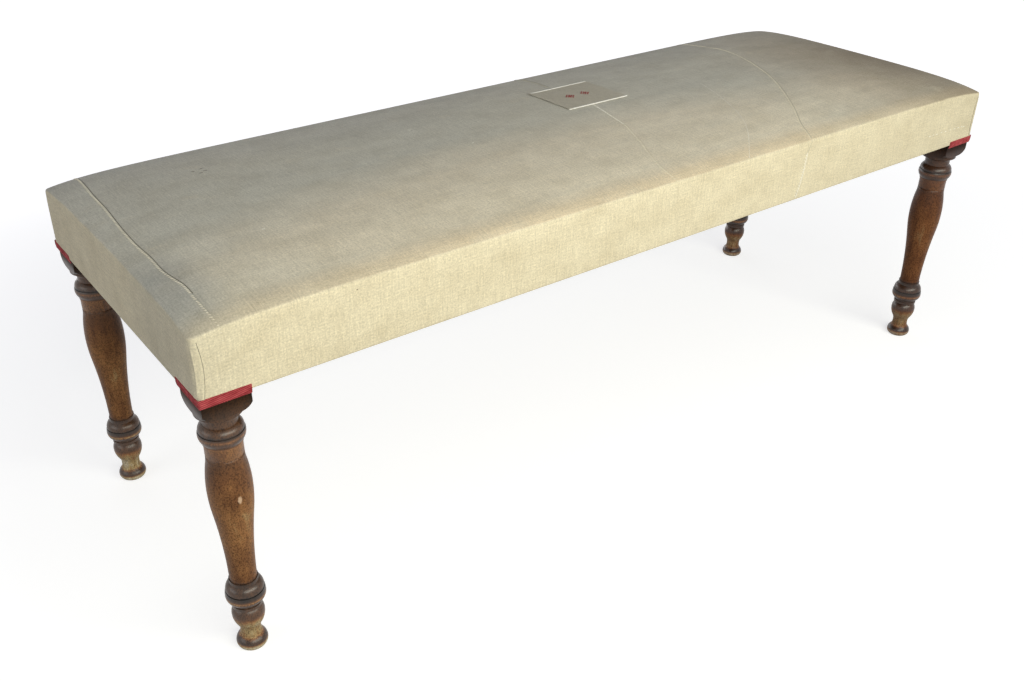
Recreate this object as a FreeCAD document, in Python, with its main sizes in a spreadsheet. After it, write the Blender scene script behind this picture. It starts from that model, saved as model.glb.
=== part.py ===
import FreeCAD, Part
import os
import re

import Sketcher

# Long bench on four turned legs: a pegged rail frame, webbing, a crowned hair seat and a linen cover.
# X runs along the length, -Y is the front, +Z is up, and the origin is on the floor under the middle.

# Driving sizes in millimetres.
SIZES = {
    # seat outside
    "seat_length": 1300,
    "seat_depth": 450,
    "edge_rise": 26,
    "shoulder_inset": 36,
    "shoulder_rise": 16,
    "crown_rise": 8,
    # cloth and stuffing layers
    "cover_thickness": 1,
    "calico_thickness": 0.8,
    "layer_gap": 0.3,
    "cover_hem": 16,
    "calico_hem": 14,
    "wadding_thickness": 5,
    "hessian_thickness": 1,
    "hessian_margin": 4,
    "webbing_thickness": 1.5,
    "webbing_width": 50,
    "webbing_margin": 6,
    "long_strap_pitch": 95,
    "cross_strap_pitch": 125,
    # patch sewn on the seat
    "patch_length": 110,
    "patch_depth": 95,
    "patch_thickness": 0.8,
    "patch_right": 76,
    "patch_back": 71,
    # braid round the head of each leg
    "braid_height": 11,
    "braid_drop": 5.5,
    "braid_thickness": 1,
    # rails and their joints
    "rail_height": 50,
    "rail_thickness": 25,
    "tenon_thickness": 9,
    "tenon_shoulder": 6,
    "tenon_wall": 5,
    "joint_clearance": 0.1,
    "mortise_room": 1,
    "peg_diameter": 8,
    "peg_length": 32,
    "peg_setback": 12,
    # cross rails
    "cross_rail_offset": 210,
    "cross_rail_width": 30,
    "cross_rail_lift": 8,
    "cross_rail_drop": 6,
    "cross_rail_dip": 10,
    "stub_length": 12,
    "stub_width": 12,
    "stub_height": 20,
    "stub_lift": 6,
    # corner blocks and their screws
    "corner_block_arm": 40,
    "corner_block_height": 34,
    "corner_block_drop": 5,
    "screw_diameter": 4,
    "screw_bite": 15,
    "screw_grip": 10,
    "screw_head_diameter": 8,
    "screw_head_height": 3,
    "counterbore_clearance": 0.6,
    # leg, from the floor up
    "foot_base_diameter": 30,
    "foot_rim_height": 6.5,
    "foot_rim_diameter": 36.7,
    "foot_flare_height": 15.5,
    "foot_stem_height": 4,
    "foot_stem_diameter": 24,
    "bulb_lower_height": 24.5,
    "bulb_diameter": 38.1,
    "bulb_upper_height": 12,
    "bulb_top_diameter": 27,
    "ankle_disc_height": 4,
    "ankle_disc_diameter": 35,
    "ankle_groove_height": 2.5,
    "ankle_groove_diameter": 33,
    "ankle_rim_height": 10,
    "ankle_rim_diameter": 46.4,
    "ankle_brow_height": 7,
    "ankle_brow_diameter": 44.6,
    "ankle_quirk_height": 1.4,
    "ankle_quirk_depth": 0.8,
    "ankle_bell_height": 10,
    "ankle_cap_height": 5.6,
    "ankle_cap_diameter": 33,
    "shaft_height": 128,
    "shaft_waist_diameter": 31,
    "belly_height": 43,
    "belly_diameter": 49.4,
    "scribe_height": 2,
    "scribe_depth": 0.8,
    "throat_height": 14.5,
    "throat_diameter": 41,
    "collar_fillet_height": 2.5,
    "collar_fillet_diameter": 42.6,
    "collar_rim_height": 9.5,
    "collar_rim_diameter": 50.3,
    "collar_brow_height": 3.5,
    "collar_brow_diameter": 49,
    "collar_quirk_height": 1.2,
    "collar_quirk_depth": 0.8,
    "collar_bell_height": 8.8,
    "neck_height": 6.5,
    "neck_diameter": 37.4,
    "cove_height": 7,
    "cove_diameter": 49.4,
    "shoulder_height": 5,
    "shoulder_diameter": 51.8,
    "block_width": 54,
    "block_reveal": 12.7,
    # how far a cutter runs past the face that it cuts
    "overrun": 0.5,
}
# Webbing straps from end to end, and from front to back.
END_TO_END_COUNT = 3
FRONT_TO_BACK_COUNT = 9

# Turned members of a leg from the floor up: form, height, diameter at the upper end.
TURNINGS = (
    ("swell", "foot_rim_height", "foot_rim_diameter"),
    ("ogee", "foot_flare_height", "foot_stem_diameter"),
    ("straight", "foot_stem_height", "foot_stem_diameter"),
    ("ogee", "bulb_lower_height", "bulb_diameter"),
    ("fall", "bulb_upper_height", "bulb_top_diameter"),
    ("step", "0", "ankle_disc_diameter"),
    ("straight", "ankle_disc_height", "ankle_disc_diameter"),
    ("step", "0", "ankle_groove_diameter"),
    ("straight", "ankle_groove_height", "ankle_groove_diameter"),
    ("swell", "ankle_rim_height", "ankle_rim_diameter"),
    ("fall", "ankle_brow_height", "ankle_brow_diameter"),
    ("step", "0", "ankle_brow_diameter - 2 * ankle_quirk_depth"),
    ("straight", "ankle_quirk_height", "ankle_brow_diameter - 2 * ankle_quirk_depth"),
    ("step", "0", "ankle_brow_diameter - ankle_quirk_depth"),
    ("fall", "ankle_bell_height", "ankle_cap_diameter"),
    ("straight", "ankle_cap_height", "ankle_cap_diameter"),
    ("step", "0", "shaft_waist_diameter"),
    ("ogee", "shaft_height", "belly_diameter"),
    ("ogee", "belly_height", "throat_diameter"),
    ("straight", "scribe_height / 2", "throat_diameter - 2 * scribe_depth"),
    ("straight", "scribe_height / 2", "throat_diameter"),
    ("straight", "throat_height", "throat_diameter"),
    ("step", "0", "collar_fillet_diameter"),
    ("straight", "collar_fillet_height", "collar_fillet_diameter"),
    ("swell", "collar_rim_height", "collar_rim_diameter"),
    ("fall", "collar_brow_height", "collar_brow_diameter"),
    ("step", "0", "collar_brow_diameter - 2 * collar_quirk_depth"),
    ("straight", "collar_quirk_height", "collar_brow_diameter - 2 * collar_quirk_depth"),
    ("step", "0", "collar_brow_diameter - collar_quirk_depth"),
    ("fall", "collar_bell_height", "neck_diameter"),
    ("straight", "neck_height", "neck_diameter"),
    ("fall", "cove_height", "cove_diameter"),
    ("step", "0", "shoulder_diameter"),
    ("straight", "shoulder_height", "shoulder_diameter"),
    ("swell", "ovolo_height", "block_corner_diameter"),
    ("straight", "block_height", "block_corner_diameter"),
)
# Where the hollow and the round of an ogee meet, as a share of its height.
OGEE_SHARES = {
    "foot_flare_height": 0.5,
    "bulb_lower_height": 0.35,
    "shaft_height": 0.75,
    "belly_height": 0.8,
}

# Sizes worked out from the driving ones.
DERIVED = {
    "side_skin": "cover_thickness + calico_thickness + 2 * layer_gap",
    "block_out_x": "seat_length / 2 - side_skin",
    "block_out_y": "seat_depth / 2 - side_skin",
    "block_in_x": "block_out_x - block_width",
    "block_in_y": "block_out_y - block_width",
    "leg_x": "block_out_x - block_width / 2",
    "leg_y": "block_out_y - block_width / 2",
    "block_corner_diameter": "block_width * sqrt(2) + 2 * overrun",
    "ovolo_height": "(block_corner_diameter - shoulder_diameter) / 2",
    "block_height": "block_reveal + rail_height",
    "leg_height": " + ".join(height for form, height, diameter in TURNINGS if form != "step"),
    "rail_top": "leg_height",
    "rail_bottom": "rail_top - rail_height",
    "rail_mid_x": "block_out_x - rail_thickness / 2",
    "rail_mid_y": "block_out_y - rail_thickness / 2",
    "rail_in_x": "block_out_x - rail_thickness",
    "rail_in_y": "block_out_y - rail_thickness",
    "rail_mid_z": "rail_bottom + rail_height / 2",
    "tenon_bottom": "rail_bottom + tenon_shoulder",
    "tenon_height": "rail_height - 2 * tenon_shoulder",
    "tenon_length": "block_width - rail_thickness / 2 - tenon_thickness / 2 - tenon_wall",
    "cross_rail_bottom": "rail_bottom + cross_rail_lift",
    "cross_rail_top": "rail_top - cross_rail_drop",
    "stub_bottom": "cross_rail_bottom + stub_lift",
    "corner_block_top": "rail_top - corner_block_drop",
    "screw_z": "corner_block_top - corner_block_height / 2",
    "screw_x": "block_in_x - corner_block_arm / 2",
    "screw_y": "block_in_y - corner_block_arm / 2",
    "pad_base": "rail_top + 2 * webbing_thickness + hessian_thickness",
    "edge_height": "rail_top + edge_rise",
    "braid_bottom": "rail_bottom - braid_drop",
    "cover_bottom": "rail_bottom - cover_thickness",
}

AXES = {
    "x": FreeCAD.Vector(1, 0, 0),
    "y": FreeCAD.Vector(0, 1, 0),
    "z": FreeCAD.Vector(0, 0, 1),
}
SIDES = {"left": -1, "right": 1}
FACES = {"front": -1, "back": 1}

doc = FreeCAD.newDocument("bench")
sheet = doc.addObject("Spreadsheet::Sheet", "Sizes")
for row, (name, value) in enumerate(SIZES.items(), start=1):
    sheet.set(f"A{row}", name)
    sheet.set(f"B{row}", str(value))
    sheet.setAlias(f"B{row}", name)
doc.recompute()


def sized(text):
    """The formula with derived names opened up and driving sizes read from the sheet."""

    def word(match):
        name = match[0]
        if name in DERIVED:
            return f"({sized(DERIVED[name])})"
        return f"Sizes.{name}" if name in SIZES else name

    return re.sub(r"[a-z][a-z_]*", word, text)


def number(text):
    """The formula's value now."""
    return float(sheet.evalExpression(sized(text)))


def bind(item, formulas):
    """Ties properties of a document object to formulas."""
    for path, text in formulas.items():
        item.setExpression(path, sized(text))
    return item


def add(kind, label):
    """A document object of that kind under that label."""
    item = doc.addObject(kind, label)
    item.Label = label
    return item


def span(sign, near, far):
    """(low, size) of a stretch between two distances from the middle, on one side of it."""
    low = near if sign > 0 else f"-({far})"
    return low, f"({far}) - ({near})"


def middle(centre, size):
    """(low, size) of a stretch with that centre."""
    return f"{centre} - ({size}) / 2", size


def box(label, *spans):
    """A block from its three (low, size) stretches."""
    item = add("Part::Box", label)
    for (low, size), side, axis in zip(spans, ("Length", "Width", "Height"), "xyz"):
        bind(item, {side: size, f"Placement.Base.{axis}": low})
    return item


def rod(label, axis, diameter, stretch, across):
    """A round rod along an axis: its (low, size) stretch, and its centre on the other two axes."""
    item = add("Part::Cylinder", label)
    item.Placement.Rotation = FreeCAD.Rotation(AXES["z"], AXES[axis])
    low, size = stretch
    bind(item, {"Radius": f"({diameter}) / 2", "Height": size, f"Placement.Base.{axis}": low})
    for other, place in across.items():
        bind(item, {f"Placement.Base.{other}": place})
    return item


def fuse(label, items):
    """One solid from touching ones."""
    item = add("Part::MultiFuse", label)
    item.Shapes = items
    item.Refine = True
    return item


def cut(label, base, tools):
    """The base with the tools taken out of it."""
    item = add("Part::Cut", label)
    item.Base = base
    item.Tool = tools[0] if len(tools) == 1 else group(f"{label}_cutters", tools)
    return item


def common(label, first, second):
    """What two solids share."""
    item = add("Part::Common", label)
    item.Base = first
    item.Tool = second
    return item


def group(label, items):
    """Separate solids in one object."""
    item = add("Part::Compound", label)
    item.Links = items
    return item


def sketch_on(body, role, name):
    """A sketch on one of the body's own planes."""
    sketch = body.newObject("Sketcher::SketchObject", name)
    plane = next(item for item in body.Origin.OriginFeatures if item.Role == role)
    sketch.AttachmentSupport = [(plane, "")]
    sketch.MapMode = "FlatFace"
    return sketch


def arc_between(start, end, radius, turn):
    """The arc of under a half circle that bulges to the left (turn 1) or the right (turn -1) of its chord."""
    chord = end - start
    half = chord.Length / 2
    sagitta = radius - (radius**2 - half**2) ** 0.5
    left = FreeCAD.Vector(-chord.y, chord.x, 0).normalize()
    return Part.Arc(start, start + chord * 0.5 + left * turn * sagitta, end)


def outline(sketch, corners):
    """A closed outline through corners (x, y) or (x, y, radius, turn), where an arc arrives at its corner."""
    places = [FreeCAD.Vector(number(corner[0]), number(corner[1]), 0) for corner in corners]
    edges = []
    for index, corner in enumerate(corners):
        start = places[index - 1]
        end = places[index]
        if len(corner) == 2:
            edges.append((sketch.addGeometry(Part.LineSegment(start, end)), 1, 2))
            continue
        radius, turn = corner[2:]
        edge = sketch.addGeometry(arc_between(start, end, number(radius), turn))
        ends = (1, 2) if turn < 0 else (2, 1)
        edges.append((edge, *ends))
        place = sketch.addConstraint(Sketcher.Constraint("Radius", edge, number(radius)))
        bind(sketch, {f"Constraints[{place}]": radius})
    for index, (edge, start_point, end_point) in enumerate(edges):
        after, after_start, after_end = edges[(index + 1) % len(edges)]
        sketch.addConstraint(Sketcher.Constraint("Coincident", edge, end_point, after, after_start))
        for form, text, value in zip(("DistanceX", "DistanceY"), corners[index], places[index]):
            place = sketch.addConstraint(Sketcher.Constraint(form, -1, 1, edge, end_point, value))
            bind(sketch, {f"Constraints[{place}]": text})


def rectangle(width, depth):
    """Corners of a centred rectangle."""
    return [(f"{x} * ({width}) / 2", f"{y} * ({depth}) / 2") for x, y in ((-1, -1), (1, -1), (1, 1), (-1, 1))]


def padded(label, role, corners, thickness):
    """A body padded to both sides of one of its planes."""
    body = add("PartDesign::Body", label)
    sketch = sketch_on(body, role, f"{label}_outline")
    outline(sketch, corners)
    pad = body.newObject("PartDesign::Pad", f"{label}_pad")
    pad.Profile = sketch
    pad.Midplane = True
    bind(pad, {"Length": thickness})
    return body


def round_radius(across, along):
    """Radius of an arc that spans across and along, and runs along at one of its ends."""
    return f"(({across})^2 + ({along})^2) / (2 * abs({across}))"


def turned_corners():
    """Half outline of a leg: the floor, the turned members, the top and back down the axis."""
    corners = [("0", "0"), ("foot_base_diameter / 2", "0")]
    for form, height, diameter in TURNINGS:
        low_radius, low = corners[-1][:2]
        radius = f"({diameter}) / 2"
        high = f"{low} + {height}"
        growth = f"({radius} - ({low_radius}))"
        outward = 1 if number(growth) > 0 else -1
        if form in ("step", "straight"):
            corners.append((radius, high))
        elif form == "swell":
            corners.append((radius, high, round_radius(growth, height), -outward))
        elif form == "fall":
            corners.append((radius, high, round_radius(growth, height), outward))
        else:
            share = OGEE_SHARES[height]
            rest = 1 - share
            joint_radius = f"{low_radius} + {growth} * {share}"
            joint = f"{low} + {height} * {share}"
            first = round_radius(f"{growth} * {share}", f"{height} * {share}")
            second = round_radius(f"{growth} * {rest}", f"{height} * {rest}")
            corners.append((joint_radius, joint, first, outward))
            corners.append((radius, high, second, -outward))
    return corners + [("0", "leg_height")]


def turned_leg(label, side, face):
    """A leg turned from square stock, its head left square and set under a corner of the seat."""
    body = add("PartDesign::Body", label)
    profile = sketch_on(body, "XZ_Plane", f"{label}_profile")
    outline(profile, turned_corners())
    turning = body.newObject("PartDesign::Revolution", f"{label}_turning")
    turning.Profile = profile
    turning.ReferenceAxis = (profile, ["V_Axis"])
    doc.recompute()
    waste = sketch_on(body, "XY_Plane", f"{label}_waste")
    bind(waste, {"AttachmentOffset.Base.z": "leg_height + overrun"})
    outline(waste, rectangle("block_width", "block_width"))
    outline(waste, rectangle("block_corner_diameter + 2 * overrun", "block_corner_diameter + 2 * overrun"))
    squaring = body.newObject("PartDesign::Pocket", f"{label}_squaring")
    squaring.Profile = waste
    bind(squaring, {"Length": "block_height + ovolo_height + 2 * overrun"})
    bind(body, {"Placement.Base.x": f"{side} * leg_x", "Placement.Base.y": f"{face} * leg_y"})
    return body


def long_tenon(label, side, face, room, depth):
    """The tenon of a long rail in one leg, or with room its mortise."""
    return box(
        label,
        span(side, f"block_in_x - {depth}", f"block_in_x + tenon_length + {depth}"),
        middle(f"{face} * rail_mid_y", f"tenon_thickness + 2 * {room}"),
        (f"tenon_bottom - {room}", f"tenon_height + 2 * {room}"),
    )


def end_tenon(label, side, face, room, depth):
    """The tenon of an end rail in one leg, or with room its mortise."""
    return box(
        label,
        middle(f"{side} * rail_mid_x", f"tenon_thickness + 2 * {room}"),
        span(face, f"block_in_y - {depth}", f"block_in_y + tenon_length + {depth}"),
        (f"tenon_bottom - {room}", f"tenon_height + 2 * {room}"),
    )


def long_peg(label, side, face, room):
    """The peg through the tenon of a long rail, or with room its hole."""
    stretch = span(face, f"block_out_y - peg_length - {room}", f"block_out_y + {room}")
    across = {"x": f"{side} * (block_in_x + peg_setback)", "z": "rail_mid_z"}
    return rod(label, "y", f"peg_diameter + 2 * {room}", stretch, across)


def end_peg(label, side, face, room):
    """The peg through the tenon of an end rail, or with room its hole."""
    stretch = span(side, f"block_out_x - peg_length - {room}", f"block_out_x + {room}")
    across = {"y": f"{face} * (block_in_y + peg_setback)", "z": "rail_mid_z"}
    return rod(label, "x", f"peg_diameter + 2 * {room}", stretch, across)


def leg(label, side, face):
    """A turned leg with the mortises of its two rails and the holes of their pegs."""
    tools = [
        long_tenon(f"{label}_long_mortise", side, face, "joint_clearance", "mortise_room"),
        end_tenon(f"{label}_end_mortise", side, face, "joint_clearance", "mortise_room"),
        long_peg(f"{label}_long_peg_hole", side, face, "joint_clearance"),
        end_peg(f"{label}_end_peg_hole", side, face, "joint_clearance"),
    ]
    return cut(label, turned_leg(f"{label}_blank", side, face), tools)


def screw_rod(label, axis, side, face, diameter, low, high):
    """A stretch of a corner screw, between two distances from the inner face of its rail."""
    if axis == "y":
        stretch = span(-face, f"-(rail_in_y - ({low}))", f"-(rail_in_y - ({high}))")
        return rod(label, "y", diameter, stretch, {"x": f"{side} * screw_x", "z": "screw_z"})
    stretch = span(-side, f"-(rail_in_x - ({low}))", f"-(rail_in_x - ({high}))")
    return rod(label, "x", diameter, stretch, {"y": f"{face} * screw_y", "z": "screw_z"})


def pilot(label, axis, side, face):
    """The hole of a corner screw in its rail."""
    diameter = "screw_diameter + 2 * joint_clearance"
    return screw_rod(label, axis, side, face, diameter, "-(screw_bite + mortise_room)", "overrun")


def screw(label, axis, side, face):
    """A corner screw: a shank into the rail and a head in the counterbore of the block."""
    shank = screw_rod(f"{label}_shank", axis, side, face, "screw_diameter", "-screw_bite", "screw_grip")
    head = screw_rod(
        f"{label}_head", axis, side, face, "screw_head_diameter", "screw_grip", "screw_grip + screw_head_height"
    )
    return fuse(label, [shank, head])


def stub(label, side, face, room):
    """The stub tenon of a cross rail in a long rail, or with room its mortise."""
    return box(
        label,
        middle(f"{side} * cross_rail_offset", f"stub_width + 2 * {room}"),
        span(face, f"rail_in_y - {room}", f"rail_in_y + stub_length + {room}"),
        (f"stub_bottom - {room}", f"stub_height + 2 * {room}"),
    )


def long_rail(label, face):
    """A front or back rail, tenoned at both ends and mortised for the cross rails."""
    board = box(
        f"{label}_board",
        middle("0", "2 * block_in_x"),
        middle(f"{face} * rail_mid_y", "rail_thickness"),
        ("rail_bottom", "rail_height"),
    )
    solids = [board]
    tools = []
    for name, side in SIDES.items():
        solids.append(long_tenon(f"{label}_{name}_tenon", side, face, "0", "0"))
        tools.append(long_peg(f"{label}_{name}_peg_hole", side, face, "joint_clearance"))
        tools.append(stub(f"{label}_{name}_mortise", side, face, "joint_clearance"))
        tools.append(pilot(f"{label}_{name}_pilot", "y", side, face))
    return cut(label, fuse(f"{label}_tenoned", solids), tools)


def end_rail(label, side):
    """A left or right rail, tenoned at both ends."""
    board = box(
        f"{label}_board",
        middle(f"{side} * rail_mid_x", "rail_thickness"),
        middle("0", "2 * block_in_y"),
        ("rail_bottom", "rail_height"),
    )
    solids = [board]
    tools = []
    for name, face in FACES.items():
        solids.append(end_tenon(f"{label}_{name}_tenon", side, face, "0", "0"))
        tools.append(end_peg(f"{label}_{name}_peg_hole", side, face, "joint_clearance"))
        tools.append(pilot(f"{label}_{name}_pilot", "x", side, face))
    return cut(label, fuse(f"{label}_tenoned", solids), tools)


def cross_rail(label, side):
    """A rail across the middle, its top dished to stay clear of the webbing."""
    dish = round_radius("cross_rail_dip", "rail_in_y")
    corners = [
        ("-rail_in_y", "cross_rail_bottom"),
        ("rail_in_y", "cross_rail_bottom"),
        ("rail_in_y", "cross_rail_top"),
        ("-rail_in_y", "cross_rail_top", dish, 1),
    ]
    board = padded(f"{label}_board", "YZ_Plane", corners, "cross_rail_width")
    bind(board, {"Placement.Base.x": f"{side} * cross_rail_offset"})
    stubs = [stub(f"{label}_{name}_stub", side, face, "0") for name, face in FACES.items()]
    return fuse(label, [board, *stubs])


def corner_block(label, side, face):
    """A notched block across a corner, screwed to both rails and cut round the head of the leg."""
    end_x = "(block_in_x - corner_block_arm)"
    end_y = "(block_in_y - corner_block_arm)"
    corners = [
        (f"{side} * block_in_x", f"{face} * rail_in_y"),
        (f"{side} * {end_x}", f"{face} * rail_in_y"),
        (f"{side} * rail_in_x", f"{face} * {end_y}"),
        (f"{side} * rail_in_x", f"{face} * block_in_y"),
        (f"{side} * block_in_x", f"{face} * block_in_y"),
    ]
    block = padded(f"{label}_block", "XY_Plane", corners, "corner_block_height")
    bind(block, {"Placement.Base.z": "screw_z"})
    tools = []
    for axis in "xy":
        hole = "screw_diameter + 2 * joint_clearance"
        bore = "screw_head_diameter + 2 * counterbore_clearance"
        tools.append(screw_rod(f"{label}_{axis}_hole", axis, side, face, hole, "-overrun", "screw_grip + overrun"))
        tools.append(screw_rod(f"{label}_{axis}_bore", axis, side, face, bore, "screw_grip", "corner_block_arm"))
    return cut(label, block, [fuse(f"{label}_holes", tools)])


def crown_corners(half, depth, bottom):
    """Outline of the crowned seat a given depth under its surface: sides, shoulders and a low arch."""
    wall = f"({half} - ({depth}))"
    flat = f"({half} - shoulder_inset)"
    edge = f"(edge_height - ({depth}))"
    top = f"({edge} + shoulder_rise)"
    shoulder = round_radius("shoulder_rise", f"shoulder_inset - ({depth})")
    arch = round_radius("crown_rise", flat)
    return [
        (f"-{wall}", bottom),
        (wall, bottom),
        (wall, edge),
        (flat, top, shoulder, -1),
        (f"-{flat}", top, arch, -1),
        (f"-{wall}", edge, shoulder, -1),
    ]


def crown(label, depth, bottom):
    """The crowned seat a given depth under its surface, down to a level."""
    along = padded(
        f"{label}_along", "XZ_Plane", crown_corners("seat_length / 2", depth, bottom), f"seat_depth - 2 * ({depth})"
    )
    across = padded(
        f"{label}_across", "YZ_Plane", crown_corners("seat_depth / 2", depth, bottom), f"seat_length - 2 * ({depth})"
    )
    return common(label, along, across)


def crown_shell(label, outer_depth, thickness, outer_bottom, inner_bottom):
    """A layer of the seat, between two depths under its surface."""
    outer = crown(f"{label}_outside", outer_depth, outer_bottom)
    inner = crown(f"{label}_inside", f"({outer_depth}) + ({thickness})", inner_bottom)
    return cut(label, outer, [inner])


def linen_cover(label):
    """The top cover: a crowned shell, turned in under the rails and cut out round the legs."""
    shell = crown_shell(f"{label}_shell", "0", "cover_thickness", "cover_bottom", "rail_bottom")
    through = ("cover_bottom - overrun", "cover_thickness + 2 * overrun")
    tools = [
        box(
            f"{label}_underside",
            middle("0", "2 * (block_out_x - cover_hem)"),
            middle("0", "2 * (block_out_y - cover_hem)"),
            through,
        )
    ]
    for side_name, side in SIDES.items():
        for face_name, face in FACES.items():
            tools.append(
                box(
                    f"{label}_{face_name}_{side_name}_notch",
                    span(side, "block_in_x - layer_gap", "seat_length / 2 - cover_thickness"),
                    span(face, "block_in_y - layer_gap", "seat_depth / 2 - cover_thickness"),
                    through,
                )
            )
    return cut(label, shell, [fuse(f"{label}_opening", tools)])


def sewn_patch(label):
    """A small cloth sewn flat on the crown of the seat."""
    layer = crown_shell(
        f"{label}_layer", "-(layer_gap + patch_thickness)", "patch_thickness", "rail_top", "rail_bottom"
    )
    piece = box(
        f"{label}_piece",
        middle("patch_right", "patch_length"),
        middle("patch_back", "patch_depth"),
        ("edge_height", "shoulder_rise + 2 * crown_rise"),
    )
    return common(label, layer, piece)


def braid(label, side, face):
    """Braid round the two outer faces of a leg's head, over the raw edge of the cover."""
    reach_x = span(side, "block_in_x", "seat_length / 2 + braid_thickness")
    reach_y = span(face, "block_in_y", "seat_depth / 2 + braid_thickness")
    tape = ("braid_bottom", "braid_height")
    lip = ("braid_bottom", "cover_bottom - braid_bottom")
    tape_x = span(side, "seat_length / 2", "seat_length / 2 + braid_thickness")
    tape_y = span(face, "seat_depth / 2", "seat_depth / 2 + braid_thickness")
    lip_x = span(side, "block_out_x", "seat_length / 2 + braid_thickness")
    lip_y = span(face, "block_out_y", "seat_depth / 2 + braid_thickness")
    strips = [
        box(f"{label}_face_tape", reach_x, tape_y, tape),
        box(f"{label}_end_tape", tape_x, reach_y, tape),
        box(f"{label}_face_lip", reach_x, lip_y, lip),
        box(f"{label}_end_lip", lip_x, reach_y, lip),
    ]
    return fuse(label, strips)


def straps(label, count, pitch, place):
    """A row of webbing straps, set out about the middle."""
    return group(label, [place(f"{label}_{index}", f"({index - (count - 1) / 2}) * {pitch}") for index in range(count)])


def long_strap(label, centre):
    """A strap from end rail to end rail, on the rails."""
    return box(
        label,
        middle("0", "2 * (block_out_x - webbing_margin)"),
        middle(centre, "webbing_width"),
        ("rail_top", "webbing_thickness"),
    )


def cross_strap(label, centre):
    """A strap from front rail to back rail, over the long ones."""
    return box(
        label,
        middle(centre, "webbing_width"),
        middle("0", "2 * (block_out_y - webbing_margin)"),
        ("rail_top + webbing_thickness", "webbing_thickness"),
    )


nodes = []
pegs = []
screws = []
for face_name, face in FACES.items():
    nodes.append(long_rail(f"rail_{face_name}", face))
    for side_name, side in SIDES.items():
        corner = f"{face_name}_{side_name}"
        nodes.append(leg(f"leg_{corner}", side, face))
        nodes.append(corner_block(f"corner_block_{corner}", side, face))
        nodes.append(braid(f"braid_{corner}", side, face))
        pegs.append(long_peg(f"long_peg_{corner}", side, face, "0"))
        pegs.append(end_peg(f"end_peg_{corner}", side, face, "0"))
        screws.extend(screw(f"screw_{axis}_{corner}", axis, side, face) for axis in "xy")
for side_name, side in SIDES.items():
    nodes.append(end_rail(f"rail_{side_name}", side))
    nodes.append(cross_rail(f"cross_rail_{side_name}", side))
nodes.append(group("tenon_pegs", pegs))
nodes.append(group("corner_block_screws", screws))
nodes.append(straps("webbing_long_straps", END_TO_END_COUNT, "long_strap_pitch", long_strap))
nodes.append(straps("webbing_cross_straps", FRONT_TO_BACK_COUNT, "cross_strap_pitch", cross_strap))
nodes.append(
    box(
        "hessian_base",
        middle("0", "2 * (block_out_x - hessian_margin)"),
        middle("0", "2 * (block_out_y - hessian_margin)"),
        ("rail_top + 2 * webbing_thickness", "hessian_thickness"),
    )
)
nodes.append(crown("hair_stuffing", "side_skin + wadding_thickness + layer_gap", "pad_base"))
nodes.append(crown_shell("cotton_wadding", "side_skin", "wadding_thickness", "pad_base", "rail_top"))
nodes.append(
    crown_shell(
        "calico_undercover",
        "cover_thickness + layer_gap",
        "calico_thickness",
        "rail_bottom + calico_hem",
        "rail_bottom",
    )
)
nodes.append(linen_cover("linen_cover"))
nodes.append(sewn_patch("sewn_patch"))

doc.recompute()
for item in doc.Objects:
    if "Invalid" in item.State or "Error" in item.State:
        raise RuntimeError(f"{item.Label} failed: {item.State}")
for node in nodes:
    if node.Shape.isNull() or not node.Shape.isValid() or not node.Shape.Solids:
        raise RuntimeError(f"{node.Label} has no valid solid")
os.makedirs("parts", exist_ok=True)
for node in nodes:
    node.Shape.exportStep(f"parts/{node.Label}.step")
    print(f"{node.Label}: {len(node.Shape.Solids)} solids, {node.Shape.Volume:.0f} mm3")
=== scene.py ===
import math
import random

import bmesh
import bpy
from mathutils import Matrix, Vector


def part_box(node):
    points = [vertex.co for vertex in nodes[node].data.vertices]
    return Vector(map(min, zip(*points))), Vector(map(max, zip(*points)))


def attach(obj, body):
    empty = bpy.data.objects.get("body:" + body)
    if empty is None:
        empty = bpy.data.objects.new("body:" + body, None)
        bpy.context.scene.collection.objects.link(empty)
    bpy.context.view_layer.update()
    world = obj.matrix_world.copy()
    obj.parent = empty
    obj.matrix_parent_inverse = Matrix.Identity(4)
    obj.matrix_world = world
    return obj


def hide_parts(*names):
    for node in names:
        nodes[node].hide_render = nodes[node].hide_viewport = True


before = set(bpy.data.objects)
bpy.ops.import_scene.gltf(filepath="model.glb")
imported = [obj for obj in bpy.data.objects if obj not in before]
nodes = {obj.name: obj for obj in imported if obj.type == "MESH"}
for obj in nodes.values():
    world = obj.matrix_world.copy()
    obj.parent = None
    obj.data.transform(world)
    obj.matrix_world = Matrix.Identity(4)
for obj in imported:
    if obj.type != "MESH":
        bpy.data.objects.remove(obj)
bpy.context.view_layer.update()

SEED = 7
draw = random.Random(SEED)

SIDES = {"left": -1, "right": 1}
FACES = {"front": -1, "back": 1}
CORNERS = [(face, side) for face in FACES for side in SIDES]
ALONG = Vector((1, 0, 0))
ACROSS = Vector((0, 1, 0))
UP = Vector((0, 0, 1))
QUARTER = math.pi / 2
WHITE = (1.0, 1.0, 1.0)
MERGE = 0.000001
SHARP_ANGLE = math.radians(40)
COVER_ANGLE = math.radians(75)

# Places read from the frame, in metres.
cover_low, cover_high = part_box("linen_cover")
leg_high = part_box("leg_front_left")[1]
HALF_LENGTH = cover_high.x
HALF_DEPTH = cover_high.y
CROWN = cover_high.z
FOOT = cover_low.z
LEG_HEIGHT = leg_high.z
HEAD_IN_X = abs(leg_high.x)
HEAD_IN_Y = abs(leg_high.y)

# The seat's crown: low corners, edges that rise away from them, and a dome over the middle.
CORNER_LEVEL = 0.4325
SIDE_RISE = 0.009
END_RISE = 0.0105
EDGE_SOFTNESS = 0.045
SHOULDER_RISE = 0.003
SHOULDER_SOFTNESS = 0.008
CORNER_ROUND = 0.005
CREASE_ROUND = 0.0035
BASE_ROUND = 0.0015
HEM_WIDTH = 0.016
HEM_AT_HEAD = 0.0005

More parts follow.
